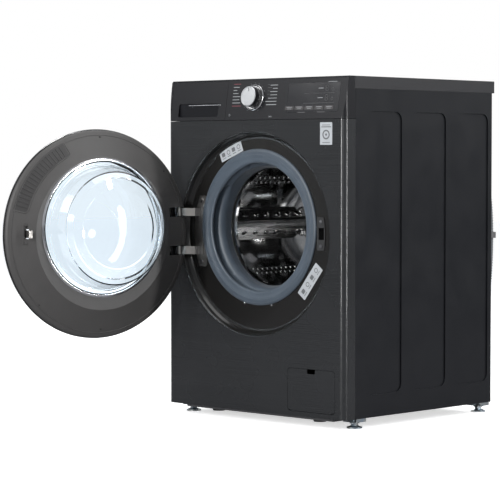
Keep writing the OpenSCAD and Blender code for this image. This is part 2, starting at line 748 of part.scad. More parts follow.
// a bellows of a few folds, about its own Z
module bellows(r, h, folds) {
    pitch = h / folds;
    outside = [for (i = [0:folds - 1]) each [[r, i * pitch], [r + 5, (i + 0.5) * pitch]]];
    inside = [for (i = [folds - 1:-1:0]) each [[r + 2, (i + 0.5) * pitch], [r - 3, i * pitch]]];
    rotate_extrude($fn = 48) polygon(concat(outside, [[r, h], [r - 3, h]], inside));
}

module fill_bellows() color(rubber_grey)
    translate([fill_x, fill_y, fill_z + 16 + fit])
        bellows(19, tray_z0 - 22 - fill_z - 16 - 2 * fit, 3);

module sump_bellows() color(rubber_grey)
    translate([sump_x, sump_y, pump_z + 56 + fit])
        bellows(18, sump_z - pump_z - 56 - 2 * fit, 4);

// ---- tub ----

module about_axis(y) {
    along_y(0, y, axis_z) children();
}

module tub_front() color(tub_white) {
    w = 4;
    difference() {
        union() {
            about_axis(0) rotate_extrude($fn = 128) polygon([[neck_r, neck_y], [neck_r + w, neck_y],
                [neck_r + w, tub_y0 - w], [tub_ro, tub_y0 - w], [tub_ro, tub_split - 6],
                [tub_ro + 13, tub_split - 6], [tub_ro + 13, tub_split - fit / 2],
                [tub_ri, tub_split - fit / 2], [tub_ri, tub_y0], [neck_r, tub_y0]]);
            // raised pad that carries the water inlet spigot
            difference() {
                translate([fill_x, fill_y, axis_z + 120]) cylinder(r = 19, h = fill_z - axis_z - 104);
                tub_void();
            }
            translate([sump_x, sump_y, sump_z]) difference() {
                cylinder(r = 18, h = axis_z - sump_z);
                translate([0, 0, axis_z - sump_z]) rotate([90, 0, 0])
                    translate([-sump_x, 0, -100]) cylinder(r = tub_ri + 1, h = 200, $fn = 128);
            }
        }
        translate([fill_x, fill_y, axis_z]) cylinder(r = 15, h = fill_z);
        translate([sump_x, sump_y, sump_z - 1]) cylinder(r = 14, h = 60);
        tub_bolts(3.2);
    }
}

module tub_void() {
    about_axis(tub_y0) cylinder(r = tub_ri + 1, h = tub_y1 - tub_y0, $fn = 128);
}

module tub_bolts(r) {
    for (a = [0:30:330]) about_axis(tub_split - 14) rotate([0, 0, a + 9])
        translate([tub_ro + 7, 0, 0]) cylinder(r = r, h = 30, $fn = 16);
}

// lugs outside the tub: springs pull on the upper pair, dampers are pinned to the lower pair
module tub_lugs() {
    for (s = [0, 1]) mirror([s, 0, 0]) {
        difference() {
            box([lug_x, spring_y - lug_w / 2, lug_z - 12], [spring_x + 8, spring_y + lug_w / 2, lug_z]);
            about_axis(tub_y0) cylinder(r = tub_ri + 1, h = tub_y1 - tub_y0, $fn = 128);
            translate([spring_x, spring_y, lug_z - 20]) cylinder(d = wire_d + 2 * fit, h = 30);
        }
        for (y = [-22, 14]) difference() {
            box([damper_tub_x - 13, y, damper_z1 - 12], [damper_tub_x + 13, y + 8, damper_z1 + 70]);
            about_axis(tub_y0) cylinder(r = tub_ri + 1, h = tub_y1 - tub_y0, $fn = 128);
            along_y(damper_tub_x, y - 1, damper_z1) cylinder(d = 8 + fit, h = 10);
        }
    }
}

module tub_rear() color(tub_white) {
    difference() {
        union() {
            about_axis(0) rotate_extrude($fn = 128) polygon([[tub_ri, tub_split + fit / 2],
                [tub_ro + 13, tub_split + fit / 2], [tub_ro + 13, tub_split + 6], [tub_ro, tub_split + 6],
                [tub_ro, tub_y1 + 6], [hub_r, tub_y1 + 6], [hub_r, tub_y1 + 46],
                [bearing_r, tub_y1 + 46], [bearing_r, tub_y1 + 30], [bearing_r - 4, tub_y1 + 30],
                [bearing_r - 4, tub_y1 + 16], [bearing_r, tub_y1 + 16], [bearing_r, tub_y1],
                [tub_ri, tub_y1]]);
            tub_lugs();
            for (a = [15:30:345]) about_axis(tub_y1 + 6 - e) rotate([0, 0, a])
                box([hub_r - 1, -2, 0], [tub_ro - 2, 2, 10]);
        }
        tub_bolts(3.2);
        about_axis(tub_y1 - 1) translate([0, tub_ri - 8, 0])
            linear_extrude(20) square([66, 15], center = true);
    }
}

module bearings() color(steel)
    for (y = [tub_y1 + 1, tub_y1 + 31]) about_axis(y) rotate_extrude()
        polygon([[shaft_d / 2 + 0.05, 0], [bearing_r - 0.02, 0],
        [bearing_r - 0.02, 14], [shaft_d / 2 + 0.05, 14], [shaft_d / 2 + 0.05, 10],
        [shaft_d / 2 + 3.5, 10], [shaft_d / 2 + 3.5, 4], [shaft_d / 2 + 0.05, 4]]);

module counterweights() color([0.42, 0.41, 0.39])
    for (a = [35, 215]) about_axis(tub_y0 - 4 - 30) rotate([0, 0, a])
        rotate_extrude(angle = 110, $fn = 128)
            translate([neck_r + 14, 0]) square([tub_ro - neck_r - 18, 29.8]);

module stator() color([0.55, 0.36, 0.20])
    about_axis(tub_y1 + 17) {
        tube(96, hub_r + fit, 24);
        for (k = [0:stator_teeth - 1]) rotate([0, 0, 360 * k / stator_teeth])
            box([95, -3.2, 2], [124, 3.2, 22]);
    }

module heater() color(steel) {
    z = axis_z - tub_ri + 8;
    box([-42, tub_y1 + 6 + fit, z - 14], [42, tub_y1 + 12, z + 8 + 10]);
    for (x = [-26, 26]) {
        along_y(x, tub_y1 - 200, z) cylinder(r = 3.2, h = 206 + fit + e);
        along_y(x, tub_y1 + 11.9, z) cylinder(r = 3.2, h = 14);
    }
    translate([0, tub_y1 - 200, z]) mirror([0, 1, 0]) rotate_extrude(angle = 180)
        translate([26, 0]) circle(r = 3.2);
}

// ---- drum ----

module drum_shell() color(steel)
    about_axis(drum_y0) tube(drum_r, drum_r - 1, drum_len);

module drum_front() color(steel)
    about_axis(drum_y0) rotate_extrude($fn = 128) polygon([[drum_r - 1.2, 14], [drum_r - 1.2, 0],
        [drum_r - 8, -5], [mouth_r + 14, -8], [mouth_r + 5, -6], [mouth_r + 1.5, -8],
        [mouth_r, -5], [mouth_r, 3], [mouth_r + 3, 4], [mouth_r + 3, -1], [mouth_r + 10, -4],
        [drum_r - 9, -2], [drum_r - 3.2, 2], [drum_r - 3.2, 14]]);

module drum_back() color(steel)
    about_axis(drum_y1) rotate_extrude($fn = 128) polygon([[0, -10], [70, -10], [90, -2],
        [150, -2], [170, -8], [drum_r - 1.2, -8], [drum_r - 1.2, 0], [drum_r - 3, 0],
        [drum_r - 3, -6], [172, -6], [152, 0], [88, 0], [68, -8], [0, -8]]);

module lifter(k) color(steel)
    about_axis(drum_y0 + 24) rotate([0, 0, 120 * k - 60]) difference() {
        linear_extrude(drum_len - 60) polygon([[drum_r - 6, -42], [drum_r - 6, 42],
            [drum_r - 18, 34], [drum_r - lifter_h, 8], [drum_r - lifter_h - 3, 0],
            [drum_r - lifter_h, -8], [drum_r - 18, -34]]);
        translate([0, 0, 3]) linear_extrude(drum_len - 66) polygon([[drum_r - 5, -38],
            [drum_r - 5, 38], [drum_r - 19, 29], [drum_r - lifter_h + 3, 4],
            [drum_r - lifter_h + 3, -4], [drum_r - 19, -29]]);
    }
module lifter_1() lifter(1);
module lifter_2() lifter(2);
module lifter_3() lifter(3);

module spider() color([0.62, 0.63, 0.64])
    about_axis(drum_y1 + fit) difference() {
        union() {
            cylinder(r = 32, h = 26);
            for (k = [0:2]) rotate([0, 0, 120 * k]) {
                box([20, -11, 0], [drum_r - 12, 11, 10]);
                box([20, -4, 9.9], [drum_r - 60, 4, 22]);
            }
        }
        translate([0, 0, -1]) cylinder(d = shaft_d, h = 40);
    }

module drive_shaft() color(steel)
    about_axis(drum_y1 + 2) cylinder(d = shaft_d, h = shaft_y1 - drum_y1 - 2);

module rotor() color([0.68, 0.69, 0.70])
    about_axis(0) {
        y = tub_y1 + 50;
        rotate_extrude() polygon([[shaft_d / 2 + fit, y - 4], [24, y - 4], [30, y + 3], [128, y + 3],
            [128, y - 30], [138, y - 30], [138, y + 6], [28, y + 6], [24, y + 12],
            [shaft_d / 2 + fit, y + 12]]);
        translate([0, 0, shaft_y1 + fit]) cylinder(d = 34, h = 5);
    }

// ---- suspension ----

// centre line of a spring: straight ends on its axis that open into the coils, and the way it faces
function coil_r(i, steps, r) = r * min(1, i / 10, (steps - i) / 10);
function spring_path(h, turns, steps, r) = concat([[0, 0, -16]],
    [for (i = [0:steps]) let (a = 360 * turns * i / steps, k = coil_r(i, steps, r))
        [k * cos(a), k * sin(a), spring_gap + h * i / steps]],
    [[0, 0, h + 2 * spring_gap + 3]]);
function spring_facing(turns, steps) = concat([[1, 0, 0]],
    [for (i = [0:steps]) let (a = 360 * turns * i / steps) [cos(a), sin(a), 0]],
    [[1, 0, 0]]);

module suspension_springs() color(zinc) {
    turns = 8;
    steps = turns * 12;
    h = z_plate - lug_z - 2 * spring_gap;
    r = (spring_d - wire_d) / 2;
    for (s = [-1, 1]) translate([s * spring_x, spring_y, lug_z])
        sweep(spring_path(h, turns, steps, r),
            spring_facing(turns, steps), wire_d / 2, 8);
}

// place a shape on the left or right damper: its own Z points from the base to the tub
module on_damper(side) {
    mirror([side < 0 ? 1 : 0, 0, 0]) translate([damper_base_x, 0, damper_z0])
        rotate([0, damper_lean, 0]) children();
}

module damper_eye() {
    along_y(0, -13.5, 0) difference() {
        cylinder(r = 11, h = 27);
        translate([0, 0, -1]) cylinder(d = 8 + fit, h = 30);
    }
}

module damper_rod(side) color(steel) on_damper(side) {
    difference() {
        union() {
            damper_eye();
            translate([0, 0, 9]) cylinder(d = 14, h = damper_len - 52);
        }
        along_y(0, -20, 0) cylinder(d = 8 + fit, h = 40);
    }
    along_y(0, -24, 0) cylinder(d = 8 - 0.1, h = 48);
}

module damper_tube(side) color(black_plastic) on_damper(side) {
    difference() {
        union() {
            translate([0, 0, damper_len]) damper_eye();
            translate([0, 0, damper_len - 118]) cylinder(d = damper_d, h = 92);
            translate([0, 0, damper_len - 27]) cylinder(d = 22, h = 18);
        }
        translate([0, 0, damper_len - 119]) cylinder(d = 14 + 2 * gap, h = 88);
        translate([0, 0, damper_len]) along_y(0, -20, 0) cylinder(d = 8 + fit, h = 40);
    }
    translate([0, 0, damper_len]) along_y(0, -24, 0) cylinder(d = 8 - 0.1, h = 48);
}
module damper_rod_left() damper_rod(-1);
module damper_rod_right() damper_rod(1);
module damper_tube_left() damper_tube(-1);
module damper_tube_right() damper_tube(1);

// ---- door, drawn closed and swung open about its hinge ----

module swung() {
    translate([hinge_x, hinge_y, 0]) rotate([0, 0, -door_open])
        translate([-hinge_x, -hinge_y, 0]) children();
}

module about_door(y) {
    along_y(0, y, door_z) children();
}

// slots in the inner frame that let the hinge straps through
module strap_slots(y_floor) {
    for (s = [-1, 1])
        box([-door_r - 4, y_floor, hinge_z + s * arm_dz - arm_h / 2 - 2],
            [hinge_plate_x + 9, y_front + 30, hinge_z + s * arm_dz + arm_h / 2 + 2]);
}

module door_inner_frame() color(frame_grey) swung() {
    w = 3;
    difference() {
        union() {
            about_door(0) rotate_extrude($fn = 160) polygon([[door_r - 2, rim_y - 2],
                [door_r - 2, rim_y + 4], [door_r - 6, rim_y + 7], [glass_r + 24, inner_y - 2],
                [glass_r + 18, inner_y], [140, inner_y], [140, inner_y - w],
                [glass_r + 17, inner_y - w], [glass_r + 23, inner_y - w - 2],
                [door_r - 8, rim_y + 3], [door_r - 8, rim_y - 2]]);
            for (s = [0, 1]) translate([hook_x, hook_pin_y, hook_z]) mirror([0, 0, s])
                box([-4.5, -4, 12.5], [4.5, 5.3, 16.5]);
        }
        translate([hook_x, hook_pin_y, hook_z - 20]) cylinder(r = 2, h = 40);
        along_y(0, inner_y - 10, glass_z) cylinder(r = glass_r, h = 20, $fn = 160);
        strap_slots(hinge_y - 12);
        box([hook_x - 6, inner_y - 40, hook_z - 12], [hook_x + 6, inner_y + 10, hook_z + 12]);
    }
}

module door_outer_frame() color(black_plastic) swung()
    difference() {
        about_door(0) rotate_extrude($fn = 160) polygon([[door_r, rim_y - 2 - fit], [door_r, rim_y - 7],
            [door_r - 2, rim_y - 10.5], [door_r - 6, rim_y - 14], [door_r - 14, cover_y + 3],
            [door_r - 26, cover_y],
            [cover_r + fit, cover_y], [cover_r + fit, cover_y + 3], [cover_r - 8, cover_y + 3],
            [cover_r - 8, cover_y + 6], [door_r - 26, cover_y + 6], [door_r - 17, cover_y + 7],
            [door_r - 10, rim_y - 12], [door_r - 6, rim_y - 2 - fit]]);
        for (s = [-1, 1])
            box([hinge_x - 9, hinge_y - 9, hinge_z + s * arm_dz - 12],
                [hinge_x + 40, hinge_y + 20, hinge_z + s * arm_dz + 12]);
    }

module door_cover() color([0.04, 0.04, 0.045]) swung()
    about_door(0) rotate_extrude($fn = 160) polygon([[0, cover_y - 7], [80, cover_y - 6],
        [150, cover_y - 3.5], [cover_r - fit, cover_y], [cover_r - fit, cover_y + 2.8],
        [150, cover_y - 0.5], [80, cover_y - 3], [0, cover_y - 4]]);

// bowl: [radius, distance behind the inner frame's face]
module door_glass() color([0.75, 0.82, 0.85, 0.4]) swung()
    along_y(0, inner_y, glass_z) rotate_extrude($fn = 128) polygon([[glass_r + 5, -9],
        [glass_r + 5, -4.6], [glass_r + 1, -3.05], [glass_r - 1, -3.05], [glass_r - 3, 0.5],
        [glass_r - 12, 0.8],
        [glass_r - 15, 6], [glass_r - 22, 34], [glass_r - 30, bowl_depth - 14],
        [glass_r - 44, bowl_depth - 3], [glass_r - 70, bowl_depth], [0, bowl_depth],
        [0, bowl_depth - 5], [glass_r - 72, bowl_depth - 5], [glass_r - 48, bowl_depth - 8],
        [glass_r - 35, bowl_depth - 18], [glass_r - 27, 32], [glass_r - 20, 5],
        [glass_r - 16, -3], [glass_r - 6, -4], [glass_r - 5, -9]]);

module hinge_pins() color(steel) swung()
    for (s = [-1, 1]) translate([hinge_x, hinge_y, hinge_z + s * arm_dz]) mirror([0, 0, s > 0 ? 0 : 1]) {
        translate([0, 0, -22]) cylinder(r = 3, h = 33.5);
        translate([0, 0, -21]) difference() {
            union() {
                box([-5, -8, 0], [7, 4, 10]);
                box([2, 3.9, 0], [7, 6.7, 10]);
            }
            translate([0, 0, -e]) cylinder(r = 3 - e, h = 10 + 2 * e);
        }
    }

module latch_hook() color(steel) swung() {
    difference() {
        union() {
            translate([hook_x, hook_pin_y, hook_z - 9]) cylinder(r = 4.5, h = 18);
            box([hook_x - 3, hook_pin_y, hook_z - 9], [hook_x + 3, floor_y + 8, hook_z + 9]);
            box([hook_x - 3, floor_y + 4, hook_z - 9], [hook_x + 7, floor_y + 9, hook_z + 9]);
        }
        translate([hook_x, hook_pin_y, hook_z - 20]) cylinder(r = 2, h = 40);
    }
    translate([hook_x, hook_pin_y, hook_z - 16]) cylinder(r = 1.95, h = 32);
}

// ---- service flap ----

// its lower edge is rolled and turns in the opening
module filter_flap() color(black_steel) {
    bead_r = 1.1;
    straight = flap_w - 20;
    flap_foot = flap_z - flap_h / 2 + bead_r;
    neck = 1.6;
    difference() {
        translate([flap_x, y_front, flap_z]) rotate([-90, 0, 0]) linear_extrude(2 * bead_r)
            round_rect(flap_w, flap_h, 10);
        translate([flap_x, y_front - 1, flap_z + flap_h / 2]) rotate([-90, 0, 0])
            linear_extrude(5) round_rect(26, 22, 3);
        box([flap_x - flap_w, y_front - 1, flap_foot - 5],
            [flap_x + flap_w, y_front + 3, flap_foot + neck]);
    }
    box([flap_x - straight / 2, y_front, flap_foot],
        [flap_x + straight / 2, y_front + 2 * bead_r, flap_foot + neck + e]);
    translate([flap_x - straight / 2, y_front + bead_r, flap_foot]) rotate([0, 90, 0])
        cylinder(r = bead_r, h = straight);
}

cabinet_wrap();
front_panel();
control_panel();
display_window();
dial_ring();
top_plate();
rear_cover();
base_pan();
base_bumpers();
drawer_housing();
door_lock();
hinge_bracket();
screws();
door_gasket();
controller();
inlet_valve();
drain_pump();
drain_outlet();
drain_hose();
hose_cuff();
hose_clips();
cord_gland();
transit_caps();
suspension_springs();
fill_bellows();
sump_bellows();
tub_front();
tub_rear();
counterweights();
bearings();
stator();
heater();
drum_shell();
drum_front();
drum_back();
lifter_1();
lifter_2();
lifter_3();
spider();
drive_shaft();
rotor();
damper_tube_left();
damper_tube_right();
damper_rod_left();
damper_rod_right();
door_inner_frame();
door_outer_frame();
door_glass();
door_cover();
hinge_pins();
latch_hook();
drawer_front();
drawer_tray();
dial();
filter_flap();
filter_cap();
foot_front_left();
foot_front_right();
foot_rear_left();
foot_rear_right();
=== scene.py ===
"""Looks of a front load washing machine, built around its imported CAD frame."""

import json
import math

import bmesh
import bpy
import numpy as np
from mathutils import Matrix, Vector

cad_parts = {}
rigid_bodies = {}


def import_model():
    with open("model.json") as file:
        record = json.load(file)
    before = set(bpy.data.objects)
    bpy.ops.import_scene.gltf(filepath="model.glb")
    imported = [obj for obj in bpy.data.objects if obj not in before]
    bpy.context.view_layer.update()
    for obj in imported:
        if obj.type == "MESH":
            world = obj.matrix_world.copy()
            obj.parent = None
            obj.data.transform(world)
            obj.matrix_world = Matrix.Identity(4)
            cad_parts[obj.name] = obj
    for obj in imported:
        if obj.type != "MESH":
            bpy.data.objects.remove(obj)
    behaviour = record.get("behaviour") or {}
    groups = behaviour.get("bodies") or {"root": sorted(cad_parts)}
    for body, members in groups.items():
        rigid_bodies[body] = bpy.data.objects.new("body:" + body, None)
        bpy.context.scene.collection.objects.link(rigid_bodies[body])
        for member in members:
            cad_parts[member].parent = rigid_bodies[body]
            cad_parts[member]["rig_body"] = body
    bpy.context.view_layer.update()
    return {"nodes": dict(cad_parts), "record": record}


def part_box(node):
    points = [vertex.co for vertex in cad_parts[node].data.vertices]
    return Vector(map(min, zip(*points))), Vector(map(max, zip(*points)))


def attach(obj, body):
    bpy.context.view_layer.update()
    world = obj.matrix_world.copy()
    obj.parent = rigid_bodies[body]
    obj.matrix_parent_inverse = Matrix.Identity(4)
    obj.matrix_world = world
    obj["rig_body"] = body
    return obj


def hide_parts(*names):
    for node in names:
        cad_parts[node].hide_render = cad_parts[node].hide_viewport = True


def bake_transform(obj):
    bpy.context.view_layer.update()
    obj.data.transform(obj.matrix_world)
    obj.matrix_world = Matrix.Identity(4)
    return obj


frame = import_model()
nodes = frame["nodes"]
record = frame["record"]
scene = bpy.context.scene

MM = 0.001
JOINTS = {j["name"]: j for j in record["behaviour"]["joints"]}
SLOTS = {row["node"]: row["material_slot"] for row in record["subparts"]}

# ---- places, taken from the frame where it gives them ----

front_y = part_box("front_panel")[0].y
rear_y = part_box("cabinet_wrap")[1].y
dial_axis = Vector(JOINTS["dial_turn"]["axis"])
dial_place = Vector(JOINTS["dial_turn"]["pos_m"])
door_hinge = Vector(JOINTS["door_hinge"]["pos_m"])
DOOR_ANGLE = math.radians(103)
DOOR_Z = 0.465
AXIS_Z = 0.482
GLASS_Z = 0.481
INNER_Y = front_y + 0.013
RECESS_Y = front_y + 0.020
DRUM_Y0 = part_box("drum_shell")[0].y
DRUM_Y1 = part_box("drum_shell")[1].y
DRUM_R = 0.239
FRAME_SLOPE = math.radians(19.3)

# ---- camera and light ----


def add_camera():
    data = bpy.data.cameras.new("camera")
    data.lens = 156.8
    data.sensor_width = 36
    data.clip_end = 60
    camera = bpy.data.objects.new("camera", data)
    camera.location = (3.7102, -4.2234, 0.6499)
    camera.rotation_euler = (math.radians(90 - 2.38), 0, math.radians(43.56))
    scene.collection.objects.link(camera)
    scene.camera = camera


def add_area(name, place, target, width, height, power):
    data = bpy.data.lights.new(name, "AREA")
    data.shape = "RECTANGLE"
    data.size, data.size_y = width, height
    data.energy = power
    lamp = bpy.data.objects.new(name, data)
    lamp.location = place
    aim = Vector(target) - Vector(place)
    lamp.rotation_euler = aim.to_track_quat("-Z", "Y").to_euler()
    scene.collection.objects.link(lamp)


def add_world():
    """White where the camera sees it, itself or through glass, and a soft light elsewhere."""
    world = bpy.data.worlds.new("world")
    scene.world = world
    world.use_nodes = True
    tree = world.node_tree
    tree.nodes.clear()
    out = tree.nodes.new("ShaderNodeOutputWorld")
    mix = tree.nodes.new("ShaderNodeMixShader")
    path = tree.nodes.new("ShaderNodeLightPath")
    soft = tree.nodes.new("ShaderNodeBackground")
    seen = tree.nodes.new("ShaderNodeBackground")
    soft.inputs[0].default_value = (0.93, 0.96, 1.0, 1)
    soft.inputs[1].default_value = 0.40
    seen.inputs[0].default_value = (1, 1, 1, 1)
    seen.inputs[1].default_value = 1.0
    either = tree.nodes.new("ShaderNodeMath")
    either.operation = "MAXIMUM"
    tree.links.new(path.outputs["Is Camera Ray"], either.inputs[0])
    tree.links.new(path.outputs["Is Transmission Ray"], either.inputs[1])
    tree.links.new(either.outputs[0], mix.inputs[0])
    tree.links.new(soft.outputs[0], mix.inputs[1])
    tree.links.new(seen.outputs[0], mix.inputs[2])
    tree.links.new(mix.outputs[0], out.inputs[0])


add_camera()
add_world()
add_area("key", (-2.2, -3.6, 3.0), (0, 0, 0.4), 2.4, 2.0, 60)
add_area("top", (0.4, 0.2, 3.6), (0, 0, 0.4), 3.2, 3.2, 70)
add_area("rear", (2.2, 3.2, 2.2), (0, 0, 0.4), 1.6, 1.6, 35)
add_area("rear_left", (-2.8, 3.4, 2.0), (0, 0, 0.4), 1.6, 1.6, 70)
add_area("fill", (2.3, -4.2, 1.5), (0, -0.1, 0.48), 0.7, 0.7, 26)
add_area("strip_front", (0.02, -3.3, 1.3), (0.285, -0.3, 0.45), 0.12, 2.6, 75)
add_area("strip_side", (3.25, 0.28, 1.3), (0.3, -0.29, 0.45), 0.12, 2.6, 75)
scene.view_settings.view_transform = "Standard"

# ---- materials ----


class Shade:
    """A node material with a Principled shader and a few patterns in object space."""

    def __init__(self, name, colour, rough, metal=0.0, **sockets):
        self.material = bpy.data.materials.new(name)
        self.material.use_nodes = True
        self.tree = self.material.node_tree
        self.shader = self.tree.nodes["Principled BSDF"]
        self.set("Base Color", (*colour, 1))
        self.set("Roughness", rough)
        self.set("Metallic", metal)
        for socket, value in sockets.items():
            self.set(socket.replace("_", " "), value)
        self.colour, self.rough = colour, rough
        self.place = self.new("ShaderNodeTexCoord").outputs["Object"]

    def new(self, kind, **values):
        node = self.tree.nodes.new(kind)
        for key, value in values.items():
            setattr(node, key, value)
        return node

    def set(self, socket, value):
        self.shader.inputs[socket].default_value = value

    def join(self, a, b):
        self.tree.links.new(a, b)

    def noise(self, scale, detail=3.0, stretch=(1, 1, 1)):
        mapping = self.new("ShaderNodeMapping")
        mapping.inputs["Scale"].default_value = stretch
        self.join(self.place, mapping.inputs["Vector"])
        node = self.new("ShaderNodeTexNoise")
        node.inputs["Scale"].default_value = scale
        node.inputs["Detail"].default_value = detail
        self.join(mapping.outputs[0], node.inputs["Vector"])
        return node.outputs["Fac"]

    def spread(self, fac, low, high, start=0.3, end=0.7):
        node = self.new("ShaderNodeMapRange")
        node.inputs["From Min"].default_value = start
        node.inputs["From Max"].default_value = end
        node.inputs["To Min"].default_value = low
        node.inputs["To Max"].default_value = high
        self.join(fac, node.inputs["Value"])
        return node.outputs["Result"]

    def tint(self, fac, low, high):
        """Colour between low and high by a 0 to 1 value."""
        node = self.new("ShaderNodeMix", data_type="RGBA")
        node.inputs[6].default_value = (*low, 1)
        node.inputs[7].default_value = (*high, 1)
        self.join(fac, node.inputs[0])
        return node.outputs[2]

    def vary_colour(self, fac, amount):
        low = [c * (1 - amount) for c in self.colour]
        high = [min(1, c * (1 + amount)) for c in self.colour]
        self.join(self.tint(self.spread(fac, 0, 1), low, high), self.shader.inputs["Base Color"])
        return self

    def vary_rough(self, fac, amount):
        value = self.spread(fac, self.rough - amount, self.rough + amount)
        self.join(value, self.shader.inputs["Roughness"])
        return self

    def bump(self, height, strength, distance=0.0004):
        node = self.new("ShaderNodeBump")
        node.inputs["Strength"].default_value = strength
        node.inputs["Distance"].default_value = distance
        self.join(height, node.inputs["Height"])
        self.join(node.outputs[0], self.shader.inputs["Normal"])
        return self

    def radius(self, centre):
        """Distance from an axis along Y through centre."""
        parts = self.new("ShaderNodeSeparateXYZ")
        shift = self.new("ShaderNodeVectorMath", operation="SUBTRACT")
        shift.inputs[1].default_value = centre
        self.join(self.place, shift.inputs[0])
        self.join(shift.outputs[0], parts.inputs[0])
        flat = self.new("ShaderNodeCombineXYZ")
        self.join(parts.outputs[0], flat.inputs[0])
        self.join(parts.outputs[2], flat.inputs[2])
        length = self.new("ShaderNodeVectorMath", operation="LENGTH")
        self.join(flat.outputs[0], length.inputs[0])
        return length.outputs["Value"]


def brushed_black():
    """Dark coated steel with fine level brushing; the recess pressed into it is smoother, and its
    colour is painted darker as painted shade.
    """
    s = Shade(
        "brushed_black_steel", (0.016, 0.017, 0.019), 0.30, 0.1,
        Specular_IOR_Level=0.4, Coat_Weight=0.30, Coat_Roughness=0.09,
    )
    streaks = s.noise(1500, 2, (0.003, 1, 1))
    cloud = s.noise(9, 2)
    # inside is 1 within the recess: it lowers the roughness there and paints the colour darker as
    # painted shade.
    inside = s.spread(s.radius((0, 0, DOOR_Z)), 1, 0, 0.2525, 0.2555)
    grain = s.tint(s.spread(streaks, 0, 1), (0.0145, 0.0155, 0.0170), (0.0215, 0.0225, 0.0240))
    mix = s.new("ShaderNodeMix", data_type="RGBA")
    s.join(inside, mix.inputs[0])
    s.join(grain, mix.inputs[6])
    # Painted shade: the darker colour of the recess.
    mix.inputs[7].default_value = (0.010, 0.0095, 0.009, 1)
    s.join(mix.outputs[2], s.shader.inputs["Base Color"])
    rough = s.new("ShaderNodeMix", data_type="FLOAT")
    s.join(inside, rough.inputs[0])
    s.join(s.spread(cloud, 0.24, 0.30), rough.inputs[2])
    rough.inputs[3].default_value = 0.24
    s.join(rough.outputs[0], s.shader.inputs["Roughness"])
    s.bump(streaks, 0.05, 0.0001)
    return s.material


def powder_coat():
    s = Shade("satin_powder_coat", (0.0070, 0.0076, 0.0095), 0.34, 0.0, Specular_IOR_Level=0.30)
    return s.vary_rough(s.noise(14, 3), 0.05).bump(s.noise(950, 2), 0.16, 0.0002).material


def brushed_panel():
    """Dark satin plastic with a fine brushed look."""
    s = Shade("panel_black", (0.0060, 0.0062, 0.0080), 0.34, Specular_IOR_Level=0.30)
    streaks = s.noise(1500, 2, (0.003, 1, 1))
    return s.vary_colour(streaks, 0.2).bump(streaks, 0.05, 0.0001).material


def laminate():
    s = Shade("dark_laminate", (0.010, 0.010, 0.012), 0.42)
    s.vary_colour(s.noise(25, 4), 0.08)
    return s.bump(s.noise(1300, 2), 0.15, 0.0002).material


def plastic(name, colour, rough, grain=900, depth=0.15, spots=0.05):
    s = Shade(name, colour, rough)
    s.vary_colour(s.noise(30, 4), spots)
    return s.bump(s.noise(grain, 2), depth, 0.0002).material


def gloss(name, colour, rough=0.08):
    s = Shade(name, colour, rough, Coat_Weight=0.6, Coat_Roughness=0.04)
    return s.vary_rough(s.noise(18, 3), 0.03).material


def rubber(name, colour, rough=0.42):
    s = Shade(name, colour, rough, Sheen_Weight=0.15)
    s.vary_colour(s.noise(22, 4), 0.10)
    return s.bump(s.noise(420, 3), 0.12, 0.0003).material


def metal(name, colour, rough, stretch=(1, 1, 1), scale=300, depth=0.05, tone=0.06):
    s = Shade(name, colour, rough, 1.0)
    grain = s.noise(scale, 3, stretch)
    s.vary_colour(grain, tone)
    s.vary_rough(s.noise(scale * 0.2, 3, stretch), rough * 0.25)
    return s.bump(grain, depth, 0.0002).material


def zinc_plate():
    """Bright passivated zinc, bluish with a faint yellow bloom."""
    s = Shade("zinc_plate", (0.50, 0.56, 0.62), 0.30, 1.0)
    bloom = s.tint(s.spread(s.noise(60, 4), 0, 1), (0.44, 0.52, 0.60), (0.62, 0.62, 0.58))
    s.join(bloom, s.shader.inputs["Base Color"])
    return s.bump(s.noise(500, 2), 0.08, 0.0002).material


def clear_glass():
    s = Shade("door_glass", (0.87, 0.94, 0.99), 0.0, 0.0, Transmission_Weight=1.0, IOR=1.47)
    return s.bump(s.noise(9, 2), 0.10, 0.002).material


def cover_glass():
    """Clear cover over the door's outside, printed black round its rim."""
    s = Shade("cover_glass", (0.93, 0.97, 1.0), 0.0, 0.0, Transmission_Weight=1.0, IOR=1.47)
    low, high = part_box("door_cover")
    shift = s.new("ShaderNodeVectorMath", operation="DISTANCE")
    shift.inputs[1].default_value = (low + high) / 2
    s.join(s.place, shift.inputs[0])
    printed = s.spread(shift.outputs["Value"], 0, 1, 0.1865, 0.1875)
    black = s.new("ShaderNodeBsdfPrincipled")
    black.inputs["Base Color"].default_value = (0.006, 0.006, 0.007, 1)
    black.inputs["Roughness"].default_value = 0.06
    mix = s.new("ShaderNodeMixShader")
    s.join(printed, mix.inputs[0])
    s.join(s.shader.outputs[0], mix.inputs[1])
    s.join(black.outputs[0], mix.inputs[2])
    s.join(mix.outputs[0], s.tree.nodes["Material Output"].inputs["Surface"])
    return s.material


def spun_metal(name, centre_z):
    """Turned silver with rings around its axis."""
    s = Shade(name, (0.66, 0.66, 0.67), 0.26, 1.0)
    rings = s.new("ShaderNodeTexNoise", noise_dimensions="1D")
    rings.inputs["Scale"].default_value = 2600
    s.join(s.radius((dial_place.x, 0, centre_z)), rings.inputs["W"])
    s.vary_colour(rings.outputs["Fac"], 0.10)
    return s.bump(rings.outputs["Fac"], 0.12, 0.0002).material


